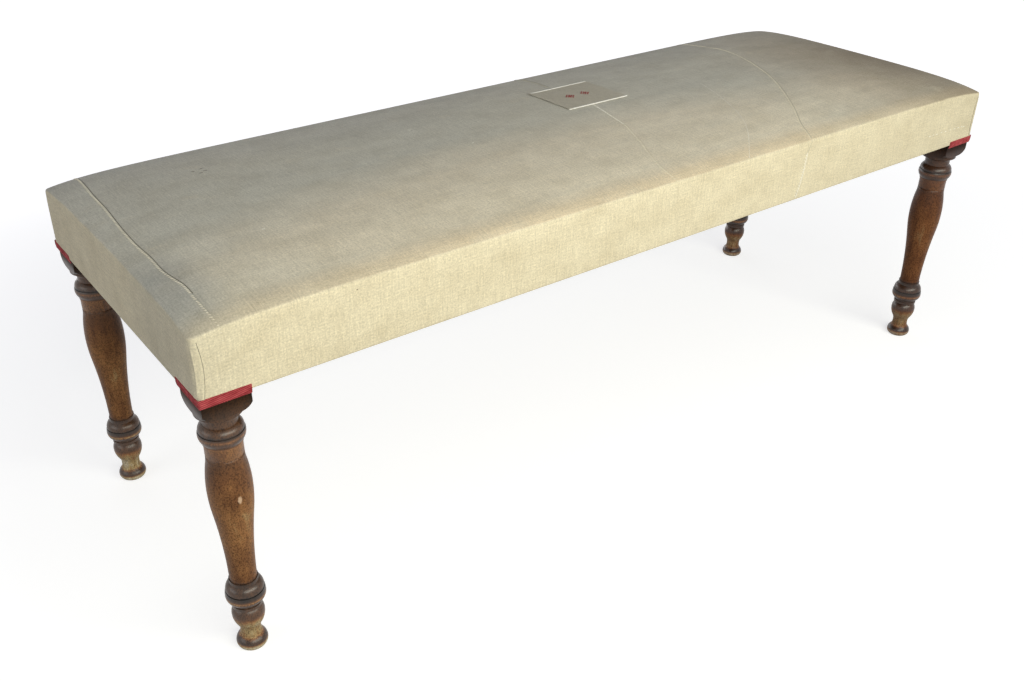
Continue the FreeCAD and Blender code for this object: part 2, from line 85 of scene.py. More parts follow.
# The simulation that swells the cover, and how far it may move the cloth.
SWELL_STEPS = 20
SWELL_PRESSURE = 4
SWELL_STIFFNESS = 40
SWELL_BENDING = 5
SWELL_DAMPING = 3
SWELL_CAP = 0.003
SWELL_SOFTNESS = 0.08
SIDE_SWELL_SHARE = 0.6

# Cloth grids: counts of cells, and how far the lines crowd towards the edges.
GRID_LONG = 110
GRID_DEEP = 44
COARSE = 2
CROWD_SHARE = 0.4
ROUND_STEPS = 3
SIDE_STEPS = 8
BASE_STEPS = 2
HEM_STEPS = 2
FALL_ROWS = ROUND_STEPS + SIDE_STEPS + BASE_STEPS + HEM_STEPS

# Layers of the seat.
COVER_THICKNESS = 0.001
CALICO_THICKNESS = 0.0008
CALICO_HEM = 0.014
LAYER_GAP = 0.0003


# Modelling


def deselect():
    """Leaves edit mode, with nothing selected."""
    if bpy.context.object and bpy.context.object.mode == "EDIT":
        bpy.ops.object.mode_set(mode="OBJECT")
    bpy.ops.object.select_all(action="DESELECT")


def pick(piece):
    """Makes a piece the only selected one."""
    deselect()
    piece.select_set(True)
    bpy.context.view_layer.objects.active = piece


def edit(piece, mode="FACE"):
    """Opens a piece in edit mode with nothing selected."""
    pick(piece)
    bpy.ops.object.mode_set(mode="EDIT")
    bpy.ops.mesh.select_mode(type=mode)
    bpy.ops.mesh.select_all(action="DESELECT")


def named(name):
    """The new active object under its own name."""
    piece = bpy.context.object
    piece.name = name
    piece.data.name = name
    return piece


def apply(piece, kind, **settings):
    """Adds a modifier and applies it."""
    pick(piece)
    modifier = piece.modifiers.new(kind.lower(), kind)
    for setting, value in settings.items():
        setattr(modifier, setting, value)
    bpy.ops.object.modifier_apply(modifier=modifier.name)


def thicken(piece, thickness):
    """Gives a cloth its thickness, inwards from its face."""
    apply(piece, "SOLIDIFY", thickness=thickness, offset=-1)


def outward(piece):
    """Turns every face outwards."""
    edit(piece)
    bpy.ops.mesh.select_all(action="SELECT")
    bpy.ops.mesh.normals_make_consistent(inside=False)
    deselect()


def face_up(piece):
    """Turns a level sheet so that it faces up."""
    if piece.data.polygons[0].normal.z < 0:
        piece.data.flip_normals()


def smooth(piece, angle=SHARP_ANGLE):
    """Shades a piece smooth, with sharp edges kept."""
    pick(piece)
    bpy.ops.object.shade_smooth_by_angle(angle=angle)


def settle(piece, slot, finish, *replaced):
    """Gives a finished piece its material and its body, and hides the nodes that it stands for. Its slot is
    not used.
    """
    piece.data.materials.clear()
    piece.data.materials.append(finish)
    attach(piece, "root")
    if replaced:
        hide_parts(*replaced)
    deselect()
    return piece


def grid(name, across, along):
    """A square grid from -1 to 1, to be shaped by a formula."""
    deselect()
    bpy.ops.mesh.primitive_grid_add(x_subdivisions=across, y_subdivisions=along, size=2)
    return named(name)


def lay_grid(name, rows, columns, place):
    """A strip of rows by columns: place(row, column) gives each point, and its place in the flat cut."""
    piece = grid(name, rows - 1, columns - 1)
    layer = piece.data.uv_layers.active or piece.data.uv_layers.new()
    cut = []
    for vertex in piece.data.vertices:
        row = round((vertex.co.x + 1) / 2 * (rows - 1))
        column = round((vertex.co.y + 1) / 2 * (columns - 1))
        vertex.co, flat = place(row, column)
        cut.append(flat)
    for loop in piece.data.loops:
        layer.data[loop.index].uv = cut[loop.vertex_index]
    return piece


def route(points, step):
    """A smooth line through given points, at even steps."""
    ends = [2 * Vector(points[0]) - Vector(points[1]), 2 * Vector(points[-1]) - Vector(points[-2])]
    knots = [ends[0], *map(Vector, points), ends[1]]
    line = [knots[1]]
    for before, start, stop, after in zip(knots, knots[1:], knots[2:], knots[3:]):
        count = max(1, round((stop - start).length / step))
        for index in range(1, count + 1):
            t = index / count
            line.append(0.5 * (2 * start + (stop - before) * t
                               + (2 * before - 5 * start + 4 * stop - after) * t ** 2
                               + (3 * start - before - 3 * stop + after) * t ** 3))
    return line


# The seat's form


def rise(distance, softness=EDGE_SOFTNESS):
    """How far an edge has risen at a distance from a corner, as a share."""
    return 1 - math.exp(-distance / softness)


def bow(share):
    """A flat arch from 0 at an edge to 1 in the middle."""
    return 1 - (1 - share) ** 2


def seat_level(x, y):
    """Height of the cover's outer face on the top, before it swells."""
    from_end = max(0, HALF_LENGTH - abs(x))
    from_side = max(0, HALF_DEPTH - abs(y))
    dome = CROWN - SWELL_CAP - CORNER_LEVEL - SIDE_RISE - END_RISE - SHOULDER_RISE
    edges = CORNER_LEVEL + SIDE_RISE * rise(from_end) + END_RISE * rise(from_side)
    shoulder = SHOULDER_RISE * rise(min(from_end, from_side), SHOULDER_SOFTNESS)
    return edges + shoulder + dome * bow(from_end / HALF_LENGTH) * bow(from_side / HALF_DEPTH)


def crowd(share):
    """Moves even grid lines from -1 to 1 closer together near the ends."""
    return share + CROWD_SHARE * (share - share ** 3)


def rounded(x, y, half_x, half_y, radius):
    """A point of a rectangle moved into the same rectangle with round corners, and the way out from it."""
    over_x = (abs(x) - half_x + radius) / radius
    over_y = (abs(y) - half_y + radius) / radius
    if over_x > 0 and over_y > 0:
        out = Vector((over_x * math.sqrt(1 - over_y ** 2 / 2), over_y * math.sqrt(1 - over_x ** 2 / 2), 0))
        spot = Vector((half_x - radius, half_y - radius, 0)) + radius * out
    else:
        out = ALONG if over_x > over_y else ACROSS
        spot = Vector((abs(x), abs(y), 0))
    turned = Vector((math.copysign(1, x), math.copysign(1, y), 0))
    return spot * turned, (out * turned).normalized()


def fall(edge, foot, hem):
    """The cloth's way past the top's edge: distances out and levels, down to its hem under the rail."""
    way = []
    for step in range(1, ROUND_STEPS + 1):
        turn = QUARTER * step / ROUND_STEPS
        way.append((CREASE_ROUND * math.sin(turn), edge - CREASE_ROUND * (1 - math.cos(turn))))
    top = edge - CREASE_ROUND
    drop = top - foot - BASE_ROUND
    for step in range(1, SIDE_STEPS + 1):
        way.append((CREASE_ROUND, top - drop * step / SIDE_STEPS))
    for step in range(1, BASE_STEPS + 1):
        turn = QUARTER * step / BASE_STEPS
        out = CREASE_ROUND - BASE_ROUND * (1 - math.cos(turn))
        way.append((out, foot + BASE_ROUND * (1 - math.sin(turn))))
    for step in range(1, HEM_STEPS + 1):
        way.append((CREASE_ROUND - BASE_ROUND - hem * step / HEM_STEPS, foot))
    return way


def seat_cloth(name, depth, foot, hem_width, coarse=1):
    """A cloth over the seat, with its rim drawn down and in under the rails, and its points' rows."""
    piece = grid(name, GRID_LONG // coarse, GRID_DEEP // coarse)
    edit(piece, "EDGE")
    bpy.ops.mesh.select_non_manifold()
    for _ in range(FALL_ROWS):
        bpy.ops.mesh.extrude_edges_move(TRANSFORM_OT_translate={"value": -UP})
    deselect()
    half_x = HALF_LENGTH - depth - CREASE_ROUND
    half_y = HALF_DEPTH - depth - CREASE_ROUND
    mesh = piece.data
    layer = mesh.uv_layers.active or mesh.uv_layers.new()
    spots = []
    for vertex in mesh.vertices:
        row = round(-vertex.co.z)
        x = half_x * crowd(vertex.co.x)
        y = half_y * crowd(vertex.co.y)
        spot, out = rounded(x, y, half_x, half_y, CORNER_ROUND - CREASE_ROUND)
        edge = seat_level(*spot.xy) - depth
        at_head = abs(x) > HEAD_IN_X and abs(y) > HEAD_IN_Y
        hem = HEM_AT_HEAD if at_head else hem_width
        past = 0
        level = edge
        if row:
            way = fall(edge, foot, hem)
            past = sum(math.dist(a, b) for a, b in zip([(0, edge), *way], way[:row]))
            spot = spot + out * way[row - 1][0]
            level = way[row - 1][1]
        spots.append((row, x, y, past))
        vertex.co = spot + UP * level
    for face in mesh.polygons:
        held = [spots[index] for index in face.vertices]
        past_top = any(row for row, x, y, past in held)
        on_end = past_top and all(abs(x) > half_x - CREASE_ROUND for row, x, y, past in held)
        for loop in face.loop_indices:
            _, x, y, past = spots[mesh.loops[loop].vertex_index]
            if on_end:
                layer.data[loop].uv = (x + math.copysign(past, x), y)
            else:
                layer.data[loop].uv = (x, y + math.copysign(past, y))
    return piece, [row for row, x, y, past in spots]


def swell(piece, rows):
    """Swells a cloth under a little pressure, held at its crease and hem, and caps how far it moves."""
    held = piece.vertex_groups.new(name="held")
    creased = range(1, ROUND_STEPS + 1)
    gripped = [index for index, row in enumerate(rows) if row in creased or row >= ROUND_STEPS + SIDE_STEPS]
    held.add(gripped, 1, "REPLACE")
    start = [vertex.co.copy() for vertex in piece.data.vertices]
    cloth = piece.modifiers.new("swell", "CLOTH")
    cloth.settings.use_pressure = True
    cloth.settings.uniform_pressure_force = SWELL_PRESSURE
    cloth.settings.effector_weights.gravity = 0
    cloth.settings.vertex_group_mass = held.name
    cloth.settings.tension_stiffness = SWELL_STIFFNESS
    cloth.settings.compression_stiffness = SWELL_STIFFNESS
    cloth.settings.bending_stiffness = SWELL_BENDING
    cloth.settings.air_damping = SWELL_DAMPING
    for step in range(1, SWELL_STEPS + 1):
        bpy.context.scene.frame_set(step)
    pick(piece)
    bpy.ops.object.modifier_apply(modifier=cloth.name)
    bpy.context.scene.frame_set(1)
    for vertex, place, row in zip(piece.data.vertices, start, rows):
        move = vertex.co - place
        inside = min(HALF_LENGTH - abs(place.x), HALF_DEPTH - abs(place.y))
        free = SIDE_SWELL_SHARE if row else rise(inside, SWELL_SOFTNESS)
        if move.length:
            vertex.co = place + move.normalized() * SWELL_CAP * free * math.tanh(move.length / SWELL_CAP)
    piece.vertex_groups.clear()


# Building finishes

# The radians that a wave of ribs turns in one unit of its scale.
WAVE_RADIANS = 20


def put(tree, kind, inputs=None, **settings):
    """A node with its settings, and with its sockets set or linked."""
    node = tree.nodes.new(kind)
    for setting, value in settings.items():
        setattr(node, setting, value)
    for socket, value in (inputs or {}).items():
        if isinstance(value, bpy.types.NodeSocket):
            tree.links.new(value, node.inputs[socket])
        else:
            node.inputs[socket].default_value = value
    return node


def new_finish(name, **sockets):
    """A material, its tree and its shader, with the sockets that are the same all over."""
    material = bpy.data.materials.new(name)
    material.use_nodes = True
    shader = material.node_tree.nodes["Principled BSDF"]
    for socket, value in sockets.items():
        shader.inputs[socket.replace("_", " ")].default_value = value
    return material, material.node_tree, shader


def place_on(tree, source, size):
    """Coordinates in which a pattern has the given size along each axis."""
    coords = put(tree, "ShaderNodeTexCoord")
    scale = [1 / length for length in size]
    inputs = {"Vector": coords.outputs[source], "Scale": scale}
    return put(tree, "ShaderNodeMapping", inputs).outputs["Vector"]


def cloud(tree, source, size, detail=3, roughness=0.55, twist=0):
    """Noise whose blots have the given size along each axis."""
    vector = place_on(tree, source, size)
    inputs = {"Vector": vector, "Scale": 1, "Detail": detail, "Roughness": roughness, "Distortion": twist}
    return put(tree, "ShaderNodeTexNoise", inputs).outputs["Fac"]


def bands(tree, pitch, axis, wander):
    """Ribs of the cloth with the given pitch along an axis of its flat cut."""
    vector = place_on(tree, "UV", (pitch, pitch, pitch))
    inputs = {"Vector": vector, "Scale": math.tau / WAVE_RADIANS, "Distortion": wander, "Detail": 1}
    return put(tree, "ShaderNodeTexWave", inputs, bands_direction=axis).outputs["Fac"]


def calc(tree, operation, first, second=0.0, third=0.0):
    """One step of arithmetic."""
    inputs = {0: first, 1: second, 2: third}
    return put(tree, "ShaderNodeMath", inputs, operation=operation).outputs[0]


def centred(tree, noise):
    """Noise moved down to lie about zero."""
    return calc(tree, "SUBTRACT", noise, 0.5)


def ramp(tree, factor, stops):
    """A run of colours or greys over a factor."""
    node = put(tree, "ShaderNodeValToRGB", {"Fac": factor})
    elements = node.color_ramp.elements
    while len(elements) < len(stops):
        elements.new(1)
    for element, (position, shade) in zip(elements, stops):
        element.position = position
        element.color = (*shade, 1) if isinstance(shade, tuple) else (shade, shade, shade, 1)
    return node.outputs["Color"]


def mix(tree, factor, first, second, how="MIX"):
    """Two colours mixed by a factor."""
    node = put(tree, "ShaderNodeMix", data_type="RGBA", blend_type=how)
    for socket, value in ((node.inputs[0], factor), (node.inputs[6], first), (node.inputs[7], second)):
        if isinstance(value, bpy.types.NodeSocket):
            tree.links.new(value, socket)
        elif isinstance(value, tuple):
            socket.default_value = (*value, 1)
        else:
            socket.default_value = value
    return node.outputs[2]


def times(tree, first, second, factor=1.0):
    """One colour times another."""
    return mix(tree, factor, first, second, "MULTIPLY")


def tinted(tree, factor, base, tint):
    """A colour that takes a tint as far as a factor says."""
    return mix(tree, factor, base, times(tree, base, tint))


def emboss(tree, shader, height, distance, strength):
    """Relief from a height."""
    inputs = {"Height": height, "Distance": distance, "Strength": strength}
    node = put(tree, "ShaderNodeBump", inputs)
    tree.links.new(node.outputs["Normal"], shader.inputs["Normal"])


def facing_up(tree):
    """How far a surface faces up, from -1 to 1."""
    geometry = put(tree, "ShaderNodeNewGeometry")
    return put(tree, "ShaderNodeSeparateXYZ", {"Vector": geometry.outputs["Normal"]}).outputs["Z"]


def blot(tree, centre, reach, edge, rag=0.3):
    """A blot with its middle, its reach along each axis, its soft edge and how ragged that is."""
    coords = put(tree, "ShaderNodeTexCoord")
    scale = [1 / length for length in reach]
    shift = [-place / length for place, length in zip(centre, reach)]
    inputs = {"Vector": coords.outputs["Object"], "Scale": scale, "Location": shift}
    near = put(tree, "ShaderNodeMapping", inputs).outputs["Vector"]
    fade = put(tree, "ShaderNodeTexGradient", {"Vector": near}, gradient_type="SPHERICAL").outputs["Fac"]
    uneven = centred(tree, cloud(tree, "Object", [length / 3 for length in reach]))
    return ramp(tree, calc(tree, "MULTIPLY_ADD", uneven, rag, fade), edge)


# Cloth and thread

# Woven cloth: how its threads wander, how its yarns weigh, and the greys of yarn, neps and mesh.
WEAVE_WANDER = 0.6
ALONG_YARN_SHARE = 0.4
ACROSS_YARN_SHARE = 0.6
YARN_GREYS = ((0.3, 0.8), (0.7, 1.05))
NEP_GREYS = ((0.3, 0.76), (0.7, 1.08))
MESH_GREYS = ((0.0, 0.8), (0.6, 1.0))
MESH_SHARE = 0.4
YARN_RELIEF = 1.2

# Old linen: its shades from light to dark, its weave's pitch, and the sizes of its stains and slubs.
LINEN_SHADES = ((0.86, 0.77, 0.56), (0.8, 0.71, 0.51), (0.72, 0.63, 0.44))
LINEN_PITCH = 0.0011
LINEN_STAIN = (0.05, 0.035, 1)
LINEN_SLUB = (0.024, 0.0021)

# Soil and painted cool shade on the linen's top: how its edge wavers, how patchy it lies, and how it is
# creased.
TOP_EDGE = ((0.4, 0.0), (0.9, 1.0))
TOP_SOIL_AND_SHADE_TINT = (0.8, 0.875, 1.02)
WAVER_SIZE = (0.045, 0.03, 0.03)
WAVER_REACH = 0.9
SOIL_AND_SHADE_PATCH_SIZE = (0.35, 0.3, 0.3)
SOIL_AND_SHADE_PATCH_GREYS = ((0.25, 0.7), (0.75, 1.0))
CREASED_SIZE = (0.24, 0.026, 1)
CREASED_GREYS = ((0.3, 0.93), (0.7, 1.05))

# Marks on the linen, from the cleanest cloth with painted light to the grime at its ends, with painted
# shade at the right end: middle, reach, soft edge and tint.
# Painted light: the front half of the top is cleaner, and lighter and bluer as if lit by the window.
CLEAN_AND_LIT = ((-0.08, -0.15, CROWN), (0.75, 0.19, 1), ((0.1, 0.0), (0.5, 1.0)), (1.05, 1.06, 1.12))
RIM = ((0, -0.24, CROWN), (3, 0.055, 1), ((0.1, 0.0), (0.5, 1.0)), (0.99, 0.93, 0.85))
TAN = ((0.6, -0.05, CROWN), (0.3, 0.4, 1), ((0.1, 0.0), (0.7, 1.0)), (0.97, 0.9, 0.84))
# Grime and painted shade at the right end, darkest where the top slopes away from the light.
GRIME_AND_SHADE = ((0.66, -0.06, CROWN), (0.28, 0.36, 1), ((0.15, 0.0), (0.9, 1.0)), (0.48, 0.43, 0.37))
SMUDGE = ((-0.64, -0.15, CROWN), (0.06, 0.12, 1), ((0.05, 0.0), (0.7, 1.0)), (0.72, 0.75, 0.81))
SMUDGE_SIDES = ((0.0, 0.45), (0.98, 1.0))

# The patch and the hidden cloths, as for the linen. A hidden cloth's slubs are as wide as two threads.
PATCH_SHADES = ((0.7, 0.65, 0.52), (0.66, 0.61, 0.48), (0.61, 0.56, 0.43))
PATCH_PITCH = 0.0008
PATCH_STAIN = (0.03, 0.03, 1)
PATCH_SLUB = (0.012, 0.0012)
HIDDEN_STAIN = (0.08, 0.08, 1)
HIDDEN_SLUB_LENGTH = 0.03
CALICO_PITCH = 0.0008
HESSIAN_PITCH = 0.0025
WEBBING_PITCH = 0.002

# Thread, loose fibre, and the braid's yarn.
STITCH_WIDTH = 0.0007
THREAD_FLECK = 0.002
HAIR_CURL = 0.004
COTTON_CURL = 0.012
BRAID_FADE_SIZE = (0.012, 0.012, 0.006)
BRAID_SHADES = ((0.3, (0.28, 0.034, 0.04)), (0.5, (0.39, 0.06, 0.068)), (0.72, (0.5, 0.1, 0.106)))
BRAID_YARN_PITCH = 0.0013
BRAID_YARN_WANDER = 1.5
BRAID_YARN_GREYS = ((0.0, 0.5), (0.8, 1.12))
BRAID_YARN_RELIEF = 0.0002


def woven(name, shades, pitch, stain, slub, **sockets):
    """Plain-woven cloth: crossing threads, thick and thin yarn, and cloudy stains."""
    material, tree, shader = new_finish(name, Roughness=0.92, Specular_IOR_Level=0.15, **sockets)
    light, mid, dark = shades
    slub_long, slub_thick = slub
    warp = bands(tree, pitch, "X", WEAVE_WANDER)
    weft = bands(tree, pitch, "Y", WEAVE_WANDER)
    threads = calc(tree, "MULTIPLY", warp, weft)
    along = cloud(tree, "UV", (slub_long, slub_thick, 1), detail=2)
    across = cloud(tree, "UV", (slub_thick, slub_long, 1), detail=2)
    across_part = calc(tree, "MULTIPLY", across, ACROSS_YARN_SHARE)
    yarn = calc(tree, "MULTIPLY_ADD", along, ALONG_YARN_SHARE, across_part)
    neps = cloud(tree, "UV", (slub_thick, slub_thick, 1), detail=2, roughness=0.7)
    stains = cloud(tree, "UV", stain, detail=4, roughness=0.6)
    body = ramp(tree, stains, ((0.25, dark), (0.5, mid), (0.75, light)))
    streaked = times(tree, body, ramp(tree, yarn, YARN_GREYS))
    flecked = times(tree, streaked, ramp(tree, neps, NEP_GREYS))
    meshed = times(tree, flecked, ramp(tree, threads, MESH_GREYS), MESH_SHARE)
    height = calc(tree, "MULTIPLY_ADD", yarn, YARN_RELIEF, threads)
    emboss(tree, shader, height, pitch / 3, strength=0.5)
    return material, tree, shader, meshed


def marked(tree, cloth, where, mark):
    """The cloth with a mark, as far as it can lie there."""
    centre, reach, edge, tint = mark
    shown = times(tree, where, blot(tree, centre, reach, edge))
    return tinted(tree, shown, cloth, tint)


def linen_finish():
    """Old hemp linen: cream where it hangs, greyer on the top with soil and painted cool shade, lighter
    across the front of the top with painted light, and grimy with painted shade at its right end.
    """
    material, tree, shader, cloth = woven(
        "linen", LINEN_SHADES, LINEN_PITCH, LINEN_STAIN, LINEN_SLUB, Sheen_Weight=0.1, Sheen_Roughness=0.5)
    waver = centred(tree, cloud(tree, "Object", WAVER_SIZE))
    top = ramp(tree, calc(tree, "MULTIPLY_ADD", waver, WAVER_REACH, facing_up(tree)), TOP_EDGE)
    soil_and_shade_mask = times(tree, top, ramp(tree, cloud(tree, "Object", SOIL_AND_SHADE_PATCH_SIZE), SOIL_AND_SHADE_PATCH_GREYS))
    creased = tinted(tree, top, cloth, ramp(tree, cloud(tree, "Object", CREASED_SIZE), CREASED_GREYS))
    # Painted shade: the top is tinted greyer and bluer than the sides, partly soil and partly the dimmer,
    # cooler light that falls on it.
    soiled_and_shaded = mix(tree, soil_and_shade_mask, cloth, times(tree, creased, TOP_SOIL_AND_SHADE_TINT))
    # Painted light: the front half of the top is cleaner and lit lighter.
    centre, reach, edge, tint = CLEAN_AND_LIT
    clean_and_lit = times(tree, top, blot(tree, centre, reach, edge))
    shown = mix(tree, clean_and_lit, soiled_and_shaded, times(tree, creased, tint))
    # The last of these marks is grime with painted shade at the right end.
    for mark in (RIM, TAN, GRIME_AND_SHADE):
        shown = marked(tree, shown, top, mark)
    smudged = marked(tree, shown, ramp(tree, facing_up(tree), SMUDGE_SIDES), SMUDGE)
    tree.links.new(smudged, shader.inputs["Base Color"])
    return material


def plain_cloth(name, shades, pitch, stain, slub):
    """A woven cloth with no marks of use."""
    material, tree, shader, cloth = woven(name, shades, pitch, stain, slub)
    tree.links.new(cloth, shader.inputs["Base Color"])
    return material


def hidden_cloth(name, pitch, light, dark):
    """A cloth that is hidden or seen from below."""
    mid = tuple((a + b) / 2 for a, b in zip(light, dark))
    return plain_cloth(name, (light, mid, dark), pitch, HIDDEN_STAIN, (HIDDEN_SLUB_LENGTH, pitch * 2))


def thread_finish(name, light, dark):
    """Twisted sewing thread."""
    material, tree, shader = new_finish(name, Roughness=0.8, Specular_IOR_Level=0.25)
    fleck = cloud(tree, "Object", (THREAD_FLECK, THREAD_FLECK, THREAD_FLECK), detail=2)
    tree.links.new(ramp(tree, fleck, ((0.35, dark), (0.65, light))), shader.inputs["Base Color"])
    emboss(tree, shader, fleck, STITCH_WIDTH / 5, strength=0.5)
    return material


def fibre_finish(name, size, light, dark):
    """Loose curled fibre."""
    material, tree, shader = new_finish(name, Roughness=0.95, Specular_IOR_Level=0.2, Sheen_Weight=0.2)
    curls = cloud(tree, "Object", (size, size, size), detail=5, roughness=0.7, twist=2.5)
    tree.links.new(ramp(tree, curls, ((0.35, dark), (0.65, light))), shader.inputs["Base Color"])
    emboss(tree, shader, curls, size, strength=0.8)
    return material


def braid_finish():
    """Crimson tape in herringbone."""
    material, tree, shader = new_finish(
        "braid", Roughness=0.8, Sheen_Weight=0.04, Sheen_Roughness=0.4, Specular_IOR_Level=0.08)
    body = ramp(tree, cloud(tree, "Object", BRAID_FADE_SIZE), BRAID_SHADES)
    yarn = bands(tree, BRAID_YARN_PITCH, "DIAGONAL", BRAID_YARN_WANDER)
    lit = times(tree, body, ramp(tree, yarn, BRAID_YARN_GREYS))
    tree.links.new(lit, shader.inputs["Base Color"])
    emboss(tree, shader, yarn, BRAID_YARN_RELIEF, strength=0.5)
    return material


# Wood and steel

# Tone up a leg as shares of its height: 0 is black polish, 1 is bare pale wood.
LEG_TONE_SHARES = (
    (0.0, 0.95), (0.0185, 0.92), (0.0215, 0.14), (0.035, 0.14), (0.041, 0.7), (0.06, 0.82), (0.1, 0.78),
    (0.115, 0.66), (0.127, 0.24), (0.186, 0.14), (0.19, 0.74), (0.1935, 0.74), (0.197, 0.16), (0.211, 0.01),
    (0.215, 0.2), (0.24, 0.17), (0.252, 0.14), (0.257, 0.44), (0.3, 0.51), (0.5, 0.6), (0.6, 0.46),
    (0.668, 0.3), (0.675, 0.5), (0.7, 0.48), (0.7115, 0.52), (0.716, 0.2), (0.733, 0.22), (0.7365, 0.56),
    (0.74, 0.48), (0.744, 0.06), (0.748, 0.02), (0.755, 0.2),
)
# How strongly the polish shines up a leg, as shares of its height.
LEG_GLOSS_SHARES = (
    (0.0, 0.1), (0.016, 0.45), (0.035, 0.35), (0.05, 0.12), (0.11, 0.2), (0.13, 0.4), (0.24, 0.4),
    (0.26, 0.08), (0.55, 0.08), (0.65, 0.15), (0.74, 0.42), (0.8, 0.3), (0.85, 0.06),
)
# The wood's colour over its tone, and how rough it is there.
WALNUT_SHADES = (
    (0.0, (0.014, 0.01, 0.008)), (0.15, (0.058, 0.031, 0.018)), (0.42, (0.155, 0.068, 0.028)),
    (0.62, (0.29, 0.14, 0.055)), (0.82, (0.42, 0.31, 0.155)), (1.0, (0.66, 0.58, 0.42)),
)
WALNUT_ROUGHNESS = ((0.0, 0.28), (0.5, 0.4), (0.9, 0.6))
WALNUT_GRAIN = (0.006, 0.006, 0.05)
WALNUT_SPECK = (0.0016, 0.0016, 0.0022)
WALNUT_CLOUD = (0.02, 0.02, 0.03)
WALNUT_RELIEF = 0.0004
GRAIN_SHARE = 0.5
SPECK_GREYS = ((0.36, 0.42), (0.56, 1.0))
TONE_SPREAD = 0.52
LEAST_SPREAD = 0.3
EDGE_RUFFLE = 0.003
SPECK_RUFFLE = 0.004

# The dull square head, from one share of the height to another, darkened by its black stain and by painted
# shade under the braid.
DULL_FROM_SHARE = 0.8
DULL_TO_SHARE = 0.86
HEAD_STAIN_AND_SHADE_SHARE = 0.32
HEAD_ROUGHNESS = 0.65

# A chip in one leg: its middle, its reach along each axis, its soft edge and its colour.
CHIP_PLACE = (-0.6206, -0.2201, 0.227)
CHIP_REACH = (0.0036, 0.006, 0.0075)
CHIP_EDGE = ((0.25, 0.0), (0.6, 0.8))
CHIP_RAG = 0.9
CHIP_SHADE = (0.6, 0.42, 0.28)

# Beech: its shades, and the sizes of its grain, flecks and saw marks along it and across it.
BEECH_SHADES = ((0.3, (0.3, 0.18, 0.085)), (0.5, (0.4, 0.255, 0.13)), (0.7, (0.5, 0.33, 0.18)))
BEECH_GRAIN = (0.25, 0.02)
BEECH_FLECK = (0.012, 0.001)
BEECH_SAW = (0.004, 0.08)
BEECH_RELIEF = 0.0003
FLECK_GREYS = ((0.35, 0.55), (0.5, 1.0))
FLECK_SHARE = 0.5

# Rust on steel.
RUST_SIZE = 0.003
RUST_ROUGHNESS = ((0.3, 0.4), (0.7, 0.75))
RUST_RELIEF = 0.0002


def walnut_finish(name, stain):
    """Stained and waxed walnut: near black in the heads, with painted shade under the braid, and in the
    hollows, rubbed to gold on foot and rims.
    """
    material, tree, shader = new_finish(name, Specular_IOR_Level=0.2)
    grain = cloud(tree, "Object", WALNUT_GRAIN, detail=4, roughness=0.6, twist=0.4)
    specks = cloud(tree, "Object", WALNUT_SPECK, detail=2, roughness=0.6)
    clouds = cloud(tree, "Object", WALNUT_CLOUD)
    coords = put(tree, "ShaderNodeTexCoord")
    height = put(tree, "ShaderNodeSeparateXYZ", {"Vector": coords.outputs["Object"]}).outputs["Z"]
    wavy = calc(tree, "MULTIPLY_ADD", centred(tree, clouds), EDGE_RUFFLE, height)
    ruffled = calc(tree, "MULTIPLY_ADD", centred(tree, specks), SPECK_RUFFLE, wavy)
    level = calc(tree, "DIVIDE", ruffled, LEG_HEIGHT)
    tone = ramp(tree, level, LEG_TONE_SHARES)
    marks = calc(tree, "SUBTRACT", calc(tree, "ADD", grain, clouds), 1.0)
    reach = calc(tree, "MULTIPLY", marks, calc(tree, "ADD", tone, LEAST_SPREAD))
    uneven = calc(tree, "MULTIPLY_ADD", reach, TONE_SPREAD, tone)
    dotted = times(tree, ramp(tree, uneven, WALNUT_SHADES), ramp(tree, specks, SPECK_GREYS))
    # Painted shade: the head is darkened for its stain and for the shade under the braid.
    head_stain_and_shade = ramp(tree, level, ((DULL_FROM_SHARE, 1.0), (DULL_TO_SHARE, HEAD_STAIN_AND_SHADE_SHARE)))
    darkened = times(tree, times(tree, dotted, stain), head_stain_and_shade)
    chip = blot(tree, CHIP_PLACE, CHIP_REACH, CHIP_EDGE, CHIP_RAG)
    tree.links.new(mix(tree, chip, darkened, CHIP_SHADE), shader.inputs["Base Color"])
    rubbed = ramp(tree, uneven, WALNUT_ROUGHNESS)
    dull = ramp(tree, level, ((DULL_FROM_SHARE, 0.0), (DULL_TO_SHARE, HEAD_ROUGHNESS)))
    tree.links.new(calc(tree, "MAXIMUM", rubbed, dull), shader.inputs["Roughness"])
    tree.links.new(ramp(tree, level, LEG_GLOSS_SHARES), shader.inputs["Specular IOR Level"])
    relief = calc(tree, "MULTIPLY_ADD", grain, GRAIN_SHARE, specks)
    emboss(tree, shader, relief, WALNUT_RELIEF, strength=0.3)
    return material


def beech_finish(name, axis):
    """Bare sawn beech with its grain along an axis, dusty with age."""
    material, tree, shader = new_finish(name, Roughness=0.7, Specular_IOR_Level=0.3)

    def stretched(size):
        """A size along the grain and one across it, for each axis."""
        along, across = size
        return [along if letter == axis else across for letter in "xyz"]

    grain = cloud(tree, "Object", stretched(BEECH_GRAIN), detail=5, roughness=0.6, twist=0.4)
    flecks = cloud(tree, "Object", stretched(BEECH_FLECK), detail=2)
    saw = cloud(tree, "Object", stretched(BEECH_SAW), detail=1)
    body = ramp(tree, grain, BEECH_SHADES)
    flecked = times(tree, body, ramp(tree, flecks, FLECK_GREYS), FLECK_SHARE)
    tree.links.new(flecked, shader.inputs["Base Color"])
    emboss(tree, shader, calc(tree, "ADD", saw, flecks), BEECH_RELIEF, strength=0.5)
    return material


def steel_finish(name, light, dark):
    """Dull blued steel with a little rust."""
    material, tree, shader = new_finish(name, Metallic=0.9, Specular_IOR_Level=0.5)
    rust = cloud(tree, "Object", (RUST_SIZE, RUST_SIZE, RUST_SIZE), detail=4)
    tree.links.new(ramp(tree, rust, ((0.4, light), (0.7, dark))), shader.inputs["Base Color"])
    tree.links.new(ramp(tree, rust, RUST_ROUGHNESS), shader.inputs["Roughness"])
    emboss(tree, shader, rust, RUST_RELIEF, strength=0.4)
    return material


